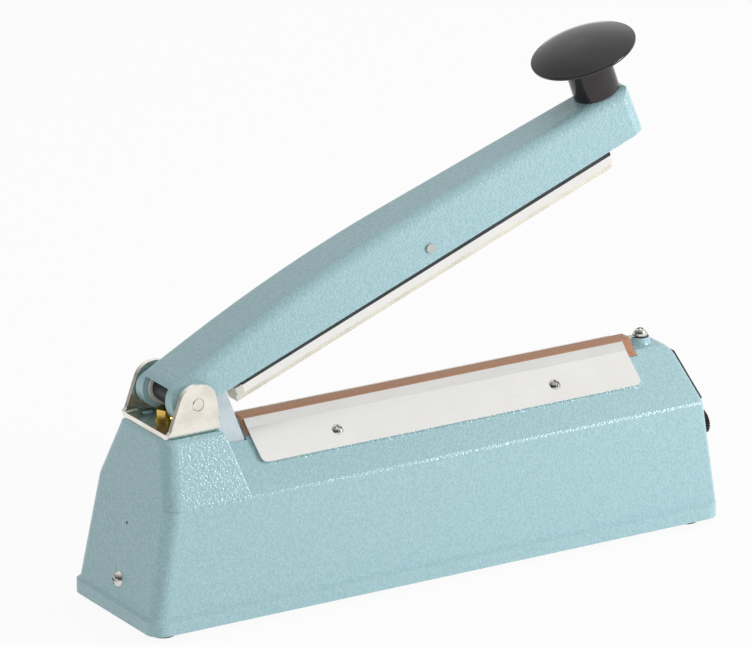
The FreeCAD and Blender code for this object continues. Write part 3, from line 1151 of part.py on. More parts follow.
def make_transformer():
    x, low = REAR_END + D.transformer_place, PLATE_TOP + D.strap_sheet
    half, stack, leg = D.core_length / 2, D.core_stack / 2, D.core_leg
    top = low + D.core_tall
    iron = block("core_blank", (x - half, x + half), (-stack, stack), (low, top))
    gaps = [block("core_gap", (x + s * leg * 1.5 - leg / 2, x + s * leg * 1.5 + leg / 2), (-stack * 2, stack * 2),
                  (low + leg, top - leg)) for s in (-1, 1)]
    core = cut("transformer_core", iron, gaps)
    gap, reach = D.winding_gap, stack + D.winding_proud
    coil = block("winding_blank", (x - leg * 2 + gap, x + leg * 2 - gap), (-reach, reach),
                 (low + leg + gap, top - leg - gap))
    passage = block("winding_hole", (x - leg - gap, x + leg + gap), (-stack - gap, stack + gap), (low, top))
    wound = cut("transformer_winding", coil, [passage])
    sheet_t, foot = D.strap_sheet, D.strap_foot
    outside = half + sheet_t
    band = cut("strap_band", block("strap_outer", (x - outside, x + outside), (-stack * 0.8, stack * 0.8),
                                   (PLATE_TOP, top + sheet_t)),
               [block("strap_inner", (x - half, x + half), (-stack, stack), (PLATE_TOP + sheet_t, top)),
                block("strap_under", (x - half + 4, x + half - 4), (-stack, stack),
                      (PLATE_TOP - 1, PLATE_TOP + sheet_t + 1))])
    feet = [block("strap_foot_pad", (x + s * outside - foot * (s < 0), x + s * outside + foot * (s > 0)),
                  (-stack * 0.8, stack * 0.8), (PLATE_TOP, PLATE_TOP + sheet_t)) for s in (-1, 1)]
    spots = [x + s * (outside + foot / 2) for s in (-1, 1)]
    hole = D.small_screw_radius + D.hole_clearance
    strap = cut("transformer_strap", fuse("strap_blank", [band] + feet),
                [rod("strap_hole", hole, (PLATE_TOP - 1, PLATE_TOP + 5), (spot, ZERO)) for spot in spots])
    screws = [cross_screw("transformer_screw", D.small_screw_radius, sheet_t, D.small_head_radius,
                          D.small_head_height, (spot, ZERO, PLATE_TOP + sheet_t)) for spot in spots]
    return [core, wound, strap, gather("transformer_screws", screws)]


def make_board():
    low = PLATE_TOP + D.standoff_height
    top = low + D.board_sheet
    half = D.board_width / 2
    front = FRONT_END - D.board_inset
    rear = front - D.board_length
    inset = D.board_hole_inset
    spots = [(x, y) for x in (rear + inset, front - inset) for y in (-half + inset, half - inset)]
    hole = D.small_screw_radius + D.hole_clearance
    board = cut("timer_board", block("board_blank", (rear, front), (-half, half), (low, top)),
                [rod("board_hole", hole, (low - 1, top + 1), spot) for spot in spots])
    posts = gather("board_standoffs", [rod("standoff", D.standoff_radius, (PLATE_TOP, low), spot)
                                       for spot in spots])
    middle_x = rear + D.board_length / 2
    relay_x, relay_y = D.relay_length / 2, D.relay_width / 2
    relay = block("relay", (middle_x - relay_x, middle_x + relay_x),
                  (-half * 0.3 - relay_y, -half * 0.3 + relay_y), (top, top + D.relay_height))
    tall = rod("capacitor", D.capacitor_radius, (top, top + D.capacitor_height), (rear + inset * 2.8, half * 0.45))
    short = rod("capacitor_small", D.capacitor_radius * 0.6, (top, top + D.capacitor_height * 0.55),
                (middle_x + inset, half * 0.6))
    triac = block("triac", (middle_x + inset * 2.4, middle_x + inset * 2.4 + D.triac_width),
                  (half * 0.4, half * 0.4 + D.triac_depth), (top, top + D.relay_height * 0.9))
    return [board, posts, gather("board_parts", [relay, tall, short, triac])]


def make_gland():
    """A rubber bush in the far side wall, square to it, with its flange against the paint."""
    shank = along_side("gland_shank", D.gland_radius, -D.wall - 3, as_size(0.5))
    flange = along_side("gland_rim", D.gland_flange, as_size(0.02), D.gland_proud)
    bore = along_side("gland_way", D.gland_bore, -D.wall * 3, D.wall * 3)
    return cut("cord_gland", fuse("gland_blank", [shank, flange]), [bore])


def main():
    nodes = [make_base_housing(), make_bottom_plate(), *make_feet(), *make_end_screws(), make_bracket(),
             *make_bracket_bolt(), *make_hinge_pin(), make_arm(), *make_knob()]
    jaw, jaw_pin = make_jaw()
    nodes += [*jaw, jaw_pin, *make_tongue(), make_spring(), *make_switch(), make_seal_bar(), make_cloth(),
              *make_clamps(), make_element(), *make_terminals(), *make_front_panel(), *make_transformer(),
              *make_board(), make_gland()]
    doc.recompute()
    for obj in doc.Objects:
        if "Invalid" in obj.State or "Error" in obj.State:
            raise RuntimeError(f"{obj.Name} failed: {obj.State}")
    for node in nodes:
        if node.Shape.isNull() or not node.Shape.isValid() or not node.Shape.Solids:
            raise RuntimeError(f"{node.Label} has no valid shape")
    os.makedirs("parts", exist_ok=True)
    for node in nodes:
        node.Shape.exportStep(f"parts/{node.Label}.step")
        print(node.Label, len(node.Shape.Solids), round(node.Shape.Volume))


main()
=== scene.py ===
# %% [markdown]
# # A tabletop heat sealer, dressed in Blender
#
# The machine is a painted casting with a cloth-covered seal bar along its roof and a sprung arm that
# swings down on it. The solids come from CAD at their real size, so this lesson only gives them their
# finishes, lays the woven cover cloth over the bar, marks the timer's dial, gives its knob a grip, and
# lights the scene.
# Everything is in metres. X runs from the hinge to the timer and Z is up.

# %% Load the machine
import bmesh
import bpy
import json
import math
from mathutils import Matrix, Vector


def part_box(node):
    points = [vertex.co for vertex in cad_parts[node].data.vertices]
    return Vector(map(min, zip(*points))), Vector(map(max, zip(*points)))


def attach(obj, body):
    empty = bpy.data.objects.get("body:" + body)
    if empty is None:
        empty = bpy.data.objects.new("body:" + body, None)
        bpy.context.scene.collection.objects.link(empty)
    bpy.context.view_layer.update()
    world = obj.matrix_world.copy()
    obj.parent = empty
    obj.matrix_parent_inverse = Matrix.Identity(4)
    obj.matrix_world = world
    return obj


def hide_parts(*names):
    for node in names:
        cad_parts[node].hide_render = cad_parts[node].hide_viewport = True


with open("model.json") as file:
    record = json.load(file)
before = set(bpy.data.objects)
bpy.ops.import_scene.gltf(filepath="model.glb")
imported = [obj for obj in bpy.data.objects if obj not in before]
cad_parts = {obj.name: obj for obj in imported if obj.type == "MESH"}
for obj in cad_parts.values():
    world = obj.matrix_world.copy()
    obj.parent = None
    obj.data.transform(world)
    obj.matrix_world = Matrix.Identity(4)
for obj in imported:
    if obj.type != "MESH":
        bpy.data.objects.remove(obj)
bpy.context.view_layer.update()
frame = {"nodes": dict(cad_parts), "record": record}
nodes = frame["nodes"]
scene = bpy.context.scene
scene.view_settings.view_transform = "Standard"

# %% [markdown]
# ## Camera
#
# The photograph was taken with a long lens from the hinge end, a little above the arm. The place, the
# direction and the lens were worked out from the base's straight edges, with the base taken as 320 mm
# long. A Blender camera looks along its own -Z, so a tracking quaternion turns that axis to the view.

# %% Camera
MM = 0.001
PHOTO_WIDTH, FOCAL_PIXELS, SENSOR_MM = 752, 8474.76, 36
VIEW_FROM = Vector((-2.007548, -3.261455, 1.441282))
VIEW_ALONG = Vector((0.492950, 0.806315, -0.326888))
FRAME_SHIFT = Vector((-4.922 * MM, 0, 4 * MM))  # from the camera fit's frame to the part's
photo_camera = bpy.data.cameras.new("photo_camera")
photo_camera.sensor_fit = "HORIZONTAL"
photo_camera.sensor_width = SENSOR_MM
photo_camera.lens = SENSOR_MM * FOCAL_PIXELS / PHOTO_WIDTH
photo_camera.clip_end = 50
camera = bpy.data.objects.new("photo_camera", photo_camera)
camera.location = VIEW_FROM + FRAME_SHIFT
camera.rotation_mode = "QUATERNION"
camera.rotation_quaternion = VIEW_ALONG.to_track_quat("-Z", "Y")
scene.collection.objects.link(camera)
scene.camera = camera
print("camera lens", round(photo_camera.lens, 1), "mm")

# %% [markdown]
# ## Floor and light
#
# The photograph has a white ground. A floor that is mostly a white that only the camera and mirrors see,
# with a share of plain white paint, stays white in the picture and still keeps the machine's soft shadow.
# One softbox stands low and to the right of the camera, so the long side is bright, the rounded edges and
# the raised block glitter and the hinge end falls into shade. The world gives the even fill.
# Mirrors see a studio that is white overhead and towards the timer, and darker behind the hinge end, so
# bright metal gets dark lines along its turned edges.


# %% Node helpers
def new_material(name):
    """An empty node material with its output node."""
    material = bpy.data.materials.new(name)
    material.use_nodes = True
    tree = material.node_tree
    tree.nodes.clear()
    return material, tree, tree.nodes.new("ShaderNodeOutputMaterial")


def math_node(tree, operation, first, second=None):
    """One Math node; each value is a number or another node's output."""
    node = tree.nodes.new("ShaderNodeMath")
    node.operation = operation
    for slot, value in zip(node.inputs, (first, second)):
        if value is None:
            continue
        if isinstance(value, (int, float)):
            slot.default_value = value
        else:
            tree.links.new(value, slot)
    return node.outputs[0]


def mirror_rays(tree):
    """The camera's rays, and 1 for the rays of mirrors and glass."""
    path = tree.nodes.new("ShaderNodeLightPath")
    mirror = math_node(tree, "MAXIMUM", path.outputs["Is Glossy Ray"], path.outputs["Is Transmission Ray"])
    return path.outputs["Is Camera Ray"], mirror


# %% Floor
WHITE_PAINT, WHITE_GLOW = (0.92, 0.92, 0.92, 1), (1, 1, 1, 1)
FLOOR_REACH = 12.0


def make_floor(share_of_glow):
    """A wide plane of white paint, with a glow that only the camera and mirrors see."""
    material, tree, output = new_material("studio_white")
    paint = tree.nodes.new("ShaderNodeBsdfDiffuse")
    paint.inputs["Color"].default_value = WHITE_PAINT
    glow = tree.nodes.new("ShaderNodeEmission")
    glow.inputs["Color"].default_value = WHITE_GLOW
    seen = math_node(tree, "MAXIMUM", *mirror_rays(tree))
    mix = tree.nodes.new("ShaderNodeMixShader")
    tree.links.new(math_node(tree, "MULTIPLY", seen, share_of_glow), mix.inputs["Fac"])
    tree.links.new(paint.outputs[0], mix.inputs[1])
    tree.links.new(glow.outputs[0], mix.inputs[2])
    tree.links.new(mix.outputs[0], output.inputs["Surface"])
    corners = [(x * FLOOR_REACH, y * FLOOR_REACH, 0) for x, y in ((-1, -1), (1, -1), (1, 1), (-1, 1))]
    mesh = bpy.data.meshes.new("studio_floor")
    mesh.from_pydata(corners, [], [(0, 1, 2, 3)])
    mesh.materials.append(material)
    floor = bpy.data.objects.new("studio_floor", mesh)
    scene.collection.objects.link(floor)


# %% World
BRIGHT_SIDE = (0.45, 0.4, 0.8)
DIM_AT, BRIGHT_AT, FALL_OFF = -0.5, 0.85, 2.0


def make_world(fill, dim):
    """White for the camera, a plain fill for lighting, and for mirrors a change from dim to white."""
    world = bpy.data.worlds.new("studio_world")
    world.use_nodes = True
    tree = world.node_tree
    ground = tree.nodes["Background"]
    ground.inputs["Color"].default_value = WHITE_GLOW
    camera_ray, mirror = mirror_rays(tree)
    place = tree.nodes.new("ShaderNodeTexCoord")
    lean = tree.nodes.new("ShaderNodeVectorMath")
    lean.operation = "DOT_PRODUCT"
    lean.inputs[1].default_value = BRIGHT_SIDE
    tree.links.new(place.outputs["Generated"], lean.inputs[0])
    studio = tree.nodes.new("ShaderNodeMapRange")
    studio.inputs["From Min"].default_value = DIM_AT
    studio.inputs["From Max"].default_value = BRIGHT_AT
    tree.links.new(lean.outputs["Value"], studio.inputs["Value"])
    bright = math_node(tree, "POWER", studio.outputs["Result"], FALL_OFF)
    bright = math_node(tree, "MAXIMUM", bright, dim)
    shown = math_node(tree, "MULTIPLY", mirror, math_node(tree, "SUBTRACT", bright, fill))
    strength = math_node(tree, "MAXIMUM", camera_ray, math_node(tree, "ADD", shown, fill))
    tree.links.new(strength, ground.inputs["Strength"])
    scene.world = world


# %% Softbox
def softbox(name, place, target, size, watts):
    """A rectangular lamp that faces its target."""
    lamp = bpy.data.lights.new(name, "AREA")
    lamp.shape = "RECTANGLE"
    lamp.size, lamp.size_y = size
    lamp.energy = watts
    box = bpy.data.objects.new(name, lamp)
    box.location = place
    box.rotation_mode = "QUATERNION"
    box.rotation_quaternion = (Vector(target) - Vector(place)).to_track_quat("-Z", "Y")
    scene.collection.objects.link(box)
    print(name, watts, "W")


make_floor(share_of_glow=0.92)
make_world(fill=0.60, dim=0.06)
softbox("key_softbox", place=(1.26, -1.10, 0.59), target=(0, 0, 0.1), size=(0.5, 0.5), watts=17.5)

# %% [markdown]
# ## Shared surface effects
#
# Moulded grain and drawn lines come back in many finishes, so they are node groups with named inputs. The
# paint's pebbles and the cloth's weave are made in the same way, so one function can use all four. A group
# gives only numbers that change over the surface: a height for a Bump node and a tone between 0 and 1. The
# shader stays in the material. Object coordinates are in metres, so a scale of 900 means about 1 mm.


# %% Group helpers
def new_group(name, inputs):
    """A shader group with float inputs and the outputs Height and Tone."""
    group = bpy.data.node_groups.new(name, "ShaderNodeTree")
    for title, value in inputs.items():
        socket = group.interface.new_socket(title, in_out="INPUT", socket_type="NodeSocketFloat")
        socket.default_value = value
    for title in ("Height", "Tone"):
        group.interface.new_socket(title, in_out="OUTPUT", socket_type="NodeSocketFloat")
    return group, group.nodes.new("NodeGroupInput"), group.nodes.new("NodeGroupOutput")


def object_space(group, stretch=(1, 1, 1)):
    """The place on the piece in metres, stretched along the axes."""
    place = group.nodes.new("ShaderNodeTexCoord")
    mapping = group.nodes.new("ShaderNodeMapping")
    mapping.inputs["Scale"].default_value = stretch
    group.links.new(place.outputs["Object"], mapping.inputs["Vector"])
    return mapping.outputs["Vector"]


def noise(group, vector, scale, detail=3.0):
    """Cloudy noise; the scale is a number or another node's output."""
    node = group.nodes.new("ShaderNodeTexNoise")
    node.inputs["Detail"].default_value = detail
    group.links.new(vector, node.inputs["Vector"])
    if isinstance(scale, (int, float)):
        node.inputs["Scale"].default_value = scale
    else:
        group.links.new(scale, node.inputs["Scale"])
    return node.outputs["Fac"]


def band(group, value, low, high):
    """Spread a value between two limits to 0 and 1, smoothly."""
    node = group.nodes.new("ShaderNodeMapRange")
    node.interpolation_type = "SMOOTHSTEP"
    node.inputs["From Min"].default_value = low
    node.inputs["From Max"].default_value = high
    group.links.new(value, node.inputs["Value"])
    return node.outputs["Result"]


# %% Paint pebbles
def make_hammer_pebbles():
    """Close-set rounded pebbles of thick paint, with thin darker valleys between them."""
    group, given, made = new_group("hammer_pebbles", {"Scale": 900.0})
    vector = object_space(group)
    cells = group.nodes.new("ShaderNodeTexVoronoi")
    cells.feature = "SMOOTH_F1"
    cells.inputs["Smoothness"].default_value = 0.45
    group.links.new(vector, cells.inputs["Vector"])
    group.links.new(given.outputs["Scale"], cells.inputs["Scale"])
    ripple = noise(group, vector, math_node(group, "MULTIPLY", given.outputs["Scale"], 0.55))
    pebble = math_node(group, "SUBTRACT", 1.0, cells.outputs["Distance"])
    pebble = math_node(group, "MULTIPLY", pebble, 0.7)
    height = math_node(group, "ADD", pebble, math_node(group, "MULTIPLY", ripple, 0.6))
    group.links.new(height, made.inputs["Height"])
    group.links.new(band(group, height, low=0.45, high=0.92), made.inputs["Tone"])
    return group


# %% Drawn lines and moulded grain
def make_drawn_lines():
    """Fine lines along X, as rolling or drawing leaves on sheet and bar."""
    group, given, made = new_group("drawn_lines", {"Scale": 2500.0})
    lines = noise(group, object_space(group, stretch=(0.02, 1, 1)), given.outputs["Scale"], detail=2.0)
    cloud = noise(group, object_space(group), scale=60.0, detail=2.0)
    group.links.new(lines, made.inputs["Height"])
    tone = math_node(group, "MULTIPLY", math_node(group, "ADD", lines, cloud), 0.5)
    group.links.new(band(group, tone, low=0.3, high=0.7), made.inputs["Tone"])
    return group


def make_moulded_grain():
    """The very fine grain and the slow gloss changes of moulded plastic and rubber."""
    group, given, made = new_group("moulded_grain", {"Scale": 3000.0})
    vector = object_space(group)
    group.links.new(noise(group, vector, given.outputs["Scale"]), made.inputs["Height"])
    cloud = noise(group, vector, scale=90.0)
    group.links.new(band(group, cloud, low=0.35, high=0.65), made.inputs["Tone"])
    return group


# %% Plain weave
def make_plain_weave():
    """Over and under threads on the cloth's own UV map, which is in metres."""
    group, given, made = new_group("plain_weave", {"Threads per metre": 1300.0})
    uv = group.nodes.new("ShaderNodeUVMap")
    uv.uv_map = "cloth_metres"
    split = group.nodes.new("ShaderNodeSeparateXYZ")
    group.links.new(uv.outputs["UV"], split.inputs["Vector"])
    turn = math_node(group, "MULTIPLY", given.outputs["Threads per metre"], math.pi)
    waves = []
    for axis in ("X", "Y"):
        waves.append(math_node(group, "SINE", math_node(group, "MULTIPLY", split.outputs[axis], turn)))
    over = math_node(group, "MULTIPLY", waves[0], waves[1])
    threads = math_node(group, "ABSOLUTE", over)
    height = math_node(group, "ADD", math_node(group, "MULTIPLY", over, 0.35), threads)
    group.links.new(height, made.inputs["Height"])
    group.links.new(band(group, height, low=-0.1, high=0.8), made.inputs["Tone"])
    return group


PEBBLES = make_hammer_pebbles()
LINES = make_drawn_lines()
GRAIN = make_moulded_grain()
WEAVE = make_plain_weave()
print("surface groups:", [group.name for group in (PEBBLES, LINES, GRAIN, WEAVE)])

# %% [markdown]
# ## Finishes
#
# One function makes every finish: two colours mixed by the group's tone, a roughness that moves between
# two values, and a bump of a real depth. Numbers that are the same all over go straight on the shader,
# because an export reads them there. Colours are written as they look on a screen and turned to the
# linear values that the shader works in.


# %% Finish function
def screen(red, green, blue):
    """A colour given as 0 to 255 on screen, as the shader's linear colour."""
    linear = []
    for level in (red, green, blue):
        share = level / 255
        linear.append(share / 12.92 if share <= 0.04045 else ((share + 0.055) / 1.055) ** 2.4)
    return (*linear, 1.0)


def finish(name, group, dark, light, rough, metallic, depth_mm, values=None, **fixed):
    """A Principled material whose colour, roughness and bump come from one surface group."""
    material, tree, output = new_material(name)
    shader = tree.nodes.new("ShaderNodeBsdfPrincipled")
    surface = tree.nodes.new("ShaderNodeGroup")
    surface.node_tree = group
    for title, value in (values or {}).items():
        surface.inputs[title].default_value = value
    colour = tree.nodes.new("ShaderNodeMix")
    colour.data_type = "RGBA"
    colour.inputs["A"].default_value = dark
    colour.inputs["B"].default_value = light
    tree.links.new(surface.outputs["Tone"], colour.inputs["Factor"])
    tree.links.new(colour.outputs["Result"], shader.inputs["Base Color"])
    gloss = tree.nodes.new("ShaderNodeMapRange")
    for limit, value in zip(("To Min", "To Max"), rough):
        gloss.inputs[limit].default_value = value
    tree.links.new(surface.outputs["Tone"], gloss.inputs["Value"])
    tree.links.new(gloss.outputs["Result"], shader.inputs["Roughness"])
    shader.inputs["Metallic"].default_value = metallic
    bump = tree.nodes.new("ShaderNodeBump")
    bump.inputs["Distance"].default_value = depth_mm * MM
    bump.inputs["Strength"].default_value = 1.0
    tree.links.new(surface.outputs["Height"], bump.inputs["Height"])
    tree.links.new(bump.outputs["Normal"], shader.inputs["Normal"])
    for title, value in fixed.items():
        shader.inputs[title.replace("_", " ").title()].default_value = value
    tree.links.new(shader.outputs[0], output.inputs["Surface"])
    return material


# %% Finish for each material slot
# Each row: material, surface group, darker and lighter screen colour, roughness at each, metallic, and
# the depth of the bump in millimetres.
FINISH_ROWS = {
    "hammered_paint": ("hammered_paint", PEBBLES, (161, 196, 202), (173, 207, 213), (0.3, 0.2), 0.0, 0.22),
    "nickel": ("bright_nickel", GRAIN, (228, 223, 210), (242, 238, 228), (0.2, 0.26), 1.0, 0.001),
    "steel": ("ground_steel", LINES, (176, 176, 174), (214, 214, 212), (0.24, 0.36), 1.0, 0.003),
    "zinc": ("zinc_plate", GRAIN, (200, 198, 194), (228, 226, 222), (0.16, 0.26), 1.0, 0.003),
    "zinc_yellow": ("yellow_zinc", GRAIN, (222, 190, 96), (242, 216, 136), (0.3, 0.38), 1.0, 0.003),
    "aluminium": ("drawn_aluminium", LINES, (237, 236, 233), (243, 242, 239), (0.2, 0.24), 1.0, 0.001),
    "brass": ("plain_brass", GRAIN, (196, 164, 96), (222, 192, 128), (0.22, 0.34), 1.0, 0.004),
    "black_plastic": ("polished_black", GRAIN, (36, 31, 32), (44, 38, 39), (0.08, 0.14), 0.0, 0.001),
    # Satin black is partly painted shade: it makes the terminal screw's bush and the jaw's carrier dark
    # where dark gaps and shadow show.
    "dark_plastic": ("satin_black_and_painted_shade", GRAIN, (34, 35, 37), (50, 51, 54), (0.36, 0.5), 0.0, 0.01),
    "grey_plastic": ("pale_grey", GRAIN, (196, 207, 213), (212, 221, 226), (0.4, 0.52), 0.0, 0.006),
    "white_plastic": ("ceramic_white", GRAIN, (226, 224, 216), (238, 236, 230), (0.3, 0.42), 0.0, 0.006),
    "rubber": ("black_rubber", GRAIN, (30, 30, 31), (46, 46, 47), (0.6, 0.75), 0.0, 0.02),
    "silicone": ("cream_silicone", GRAIN, (220, 212, 196), (234, 227, 212), (0.42, 0.55), 0.0, 0.01),
    "lamination": ("varnished_iron", LINES, (70, 70, 74), (104, 104, 108), (0.4, 0.55), 0.6, 0.02),
    "copper_wire": ("winding_tape", GRAIN, (168, 122, 60), (196, 150, 84), (0.35, 0.5), 0.0, 0.03),
    "board": ("board_green", GRAIN, (40, 104, 66), (58, 128, 84), (0.35, 0.45), 0.0, 0.01),
    "lamp_red": ("lamp_red", GRAIN, (176, 24, 22), (204, 40, 34), (0.06, 0.12), 0.0, 0.001),
    "nichrome": ("nichrome_ribbon", LINES, (168, 162, 154), (206, 200, 190), (0.28, 0.42), 1.0, 0.003),
    "cloth": ("woven_cover", WEAVE, (112, 62, 36), (222, 170, 132), (0.55, 0.42), 0.0, 0.08),
}
FINISH_EXTRAS = {
    "hammered_paint": {"values": {"Scale": 850.0}},
    "silicone": {"subsurface_weight": 0.15},
    "cloth": {"values": {"Threads per metre": 1300.0}},
}
FINISHES = {}
for slot, (name, group, dark, light, rough, metallic, depth_mm) in FINISH_ROWS.items():
    FINISHES[slot] = finish(name, group, screen(*dark), screen(*light), rough, metallic, depth_mm,
                            **FINISH_EXTRAS.get(slot, {}))
for part in frame["record"]["subparts"]:
    piece = nodes[part["node"]]
    piece.data.materials.clear()
    piece.data.materials.append(FINISHES[part["material_slot"]])
print("finishes:", len(FINISHES))

# %% [markdown]
# ## Cover cloth
#
# A strip of coated glass cloth lies over the heating ribbon and keeps the bag from sticking. It runs down
# both flanks of the seal bar and is held under the clamp plates. It is a real sheet, so it is built as a
# grid that follows the bar's section, with small ripples where nothing presses on it, and then given its
# thickness. Its UV map is in metres, so the weave keeps its true size over the bends.

# %% Cover cloth
cloth_low, cloth_high = (Vector(corner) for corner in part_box("cover_cloth"))
bar_low, bar_high = (Vector(corner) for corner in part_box("seal_bar"))
CLOTH_SHEET, CLOTH_LIFT = 0.25 * MM, 0.16 * MM
CREST_HALF, CLOTH_STEP, CLOTH_COLUMNS = 3.2 * MM, 0.8 * MM, 113
RIPPLE_HALF = 4 * MM
RIPPLES = ((0.05 * MM, 310, 0.0), (0.04 * MM, 127, 1.3))  # height, radians per metre, start


def cloth_section():
    """Half of the cloth's middle line from the crest to the free edge, as (y, z) points."""
    foot_half = (bar_high.y - bar_low.y) / 2
    edge = Vector((cloth_high.y, cloth_low.z))
    crest = [Vector((0, bar_high.z)), Vector((CREST_HALF, bar_high.z))]
    knees = [*crest, Vector((foot_half, bar_low.z)), edge]
    points = []
    for start, end in zip(knees, knees[1:]):
        steps = max(2, round((end - start).length / CLOTH_STEP))
        points += [start.lerp(end, step / steps) for step in range(steps)]
    return points + [edge]


def make_cover_cloth():
    """The sheet as a grid of the section along X, with its UV map in metres."""
    half = cloth_section()
    section = [Vector((-p.x, p.y)) for p in reversed(half[1:])] + half
    across = [0.0]
    for a, b in zip(section, section[1:]):
        across.append(across[-1] + (b - a).length)
    length = cloth_high.x - cloth_low.x
    mesh = bpy.data.meshes.new("cover_cloth_sheet")
    shape = bmesh.new()
    uv = shape.loops.layers.uv.new("cloth_metres")
    rows = []
    for column in range(CLOTH_COLUMNS):
        along = column / (CLOTH_COLUMNS - 1)
        x = cloth_low.x + along * length
        ripple = sum(height * math.sin(x * turn + start) for height, turn, start in RIPPLES)
        row = []
        for point in section:
            crest = max(0.0, 1 - abs(point.x) / RIPPLE_HALF)
            row.append(shape.verts.new((x, point.x, point.y + CLOTH_LIFT + ripple * crest)))
        rows.append(row)
    for column in range(CLOTH_COLUMNS - 1):
        for line in range(len(section) - 1):
            corners = ((column, line), (column + 1, line), (column + 1, line + 1), (column, line + 1))
            face = shape.faces.new([rows[c][r] for c, r in corners])
            face.smooth = True
            for loop, (c, r) in zip(face.loops, corners):
                loop[uv].uv = (c / (CLOTH_COLUMNS - 1) * length, across[r])
    bmesh.ops.recalc_face_normals(shape, faces=shape.faces)
    shape.to_mesh(mesh)
    shape.free()
    cloth = bpy.data.objects.new("cover_cloth_sheet", mesh)
    scene.collection.objects.link(cloth)
    cloth.data.materials.append(FINISHES["cloth"])
    thickness = cloth.modifiers.new("thickness", "SOLIDIFY")
    thickness.thickness = CLOTH_SHEET
    thickness.offset = 0
    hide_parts("cover_cloth")
    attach(cloth, "base")
    print("cover cloth", round(across[-1] / MM, 1), "x", round(length / MM, 1), "mm")


make_cover_cloth()

# %% [markdown]
# ## Ring of copies
#
# The timer's dial has marks at even angles, and its knob has grip ribs at even angles, so both follow one
# rule. A Geometry Nodes tree takes a small mesh, a count, a radius, a first angle and a step, sets the
# copies round the X axis and turns each to point outwards. The result is then made a plain mesh, because
# instances don't leave Blender. Angles go clockwise from the top, for someone who faces the dial.


# %% Ring tree
def make_ring_tree():
    """Copies of one object set round the X axis at even angles."""
    tree = bpy.data.node_groups.new("ring_of_copies", "GeometryNodeTree")
    inputs = {"Copy": "Object", "Count": "Int", "Radius": "Float", "First": "Float", "Step": "Float",
              "Material": "Material"}
    for title, kind in inputs.items():
        tree.interface.new_socket(title, in_out="INPUT", socket_type="NodeSocket" + kind)
    tree.interface.new_socket("Mesh", in_out="OUTPUT", socket_type="NodeSocketGeometry")
    given, made = tree.nodes.new("NodeGroupInput"), tree.nodes.new("NodeGroupOutput")
    index = tree.nodes.new("GeometryNodeInputIndex").outputs[0]
    turned = math_node(tree, "MULTIPLY", index, given.outputs["Step"])
    angle = math_node(tree, "ADD", turned, given.outputs["First"])
    place, turn = tree.nodes.new("ShaderNodeCombineXYZ"), tree.nodes.new("ShaderNodeCombineXYZ")
    for axis, operation in (("Y", "SINE"), ("Z", "COSINE")):
        reach = math_node(tree, "MULTIPLY", math_node(tree, operation, angle), given.outputs["Radius"])
        tree.links.new(reach, place.inputs[axis])
    tree.links.new(math_node(tree, "MULTIPLY", angle, -1.0), turn.inputs["X"])
    points = tree.nodes.new("GeometryNodePoints")
    tree.links.new(given.outputs["Count"], points.inputs["Count"])
    tree.links.new(place.outputs[0], points.inputs["Position"])
    copy = tree.nodes.new("GeometryNodeObjectInfo")
    tree.links.new(given.outputs["Copy"], copy.inputs["Object"])
    spread = tree.nodes.new("GeometryNodeInstanceOnPoints")
    tree.links.new(points.outputs[0], spread.inputs["Points"])
    tree.links.new(copy.outputs["Geometry"], spread.inputs["Instance"])
    tree.links.new(turn.outputs[0], spread.inputs["Rotation"])
    solid = tree.nodes.new("GeometryNodeRealizeInstances")
    tree.links.new(spread.outputs[0], solid.inputs[0])
    painted = tree.nodes.new("GeometryNodeSetMaterial")
    tree.links.new(solid.outputs[0], painted.inputs["Geometry"])
    tree.links.new(given.outputs["Material"], painted.inputs["Material"])
    tree.links.new(painted.outputs[0], made.inputs["Mesh"])
    return tree


RING = make_ring_tree()
print("ring tree:", len(RING.nodes), "nodes")


# %% Ring meshes
def box_mesh(name, low, high):
    """A closed block between two corners."""
    shape = bmesh.new()
    bmesh.ops.create_cube(shape, size=1.0)
    for vertex in shape.verts:
        vertex.co = Vector([a + (b - a) * (c + 0.5) for a, b, c in zip(low, high, vertex.co)])
    mesh = bpy.data.meshes.new(name)
    shape.to_mesh(mesh)
    shape.free()
    return mesh


def plain_mesh(piece):
    """The evaluated object as a mesh of its own."""
    graph = bpy.context.evaluated_depsgraph_get()
    return bpy.data.meshes.new_from_object(piece.evaluated_get(graph))


def ring_mesh(name, copy_mesh, material, count, radius, first, step):
    """The ring's plain mesh; the copied object and the modifier are gone afterwards."""
    copy = bpy.data.objects.new(name + "_copy", copy_mesh)
    holder = bpy.data.objects.new(name, bpy.data.meshes.new(name))
    for piece in (copy, holder):
        scene.collection.objects.link(piece)
    ring = holder.modifiers.new("ring", "NODES")
    ring.node_group = RING
    values = {"Copy": copy, "Count": count, "Radius": radius, "First": first, "Step": step,
              "Material": material}
    for socket in RING.interface.items_tree:
        if socket.in_out == "INPUT":
            ring[socket.identifier] = values[socket.name]
    mesh = plain_mesh(holder)
    for piece in (copy, holder):
        bpy.data.objects.remove(piece)
    print(name, count, "copies,", len(mesh.polygons), "faces")
    return mesh


# %% [markdown]
# ## Timer dial
#
# The dial plate sits flat on the leaning front end. Its marks are thin white print, so each is a block a
# few hundredths of a millimetre proud: a long mark and a numeral at every step, and short marks between.
# They are made round the X axis and then carried to the timer's own axis, which the record gives.

# %% Timer's axis and dial helpers
joints = {joint["name"]: joint for joint in frame["record"]["behaviour"]["joints"]}
turn_axis = Vector(joints["timer_turn"]["axis"])
outward = turn_axis if turn_axis.x > 0 else -turn_axis
across_dial = Vector((0, 1, 0))
ON_DIAL = Matrix((outward, across_dial, outward.cross(across_dial))).transposed().to_4x4()
ON_DIAL.translation = Vector(joints["timer_turn"]["pos_m"])
FIRST, SWEEP, STEPS = math.radians(-140), math.radians(280), 8
SHORT_MARKS = 4 * STEPS
MARK_PRINT, NUMERAL_PRINT = 0.03 * MM, 0.02 * MM
MARK_RADIUS, NUMERAL_RADIUS, NUMERAL_SIZE = 8.0 * MM, 12.2 * MM, 3.2 * MM


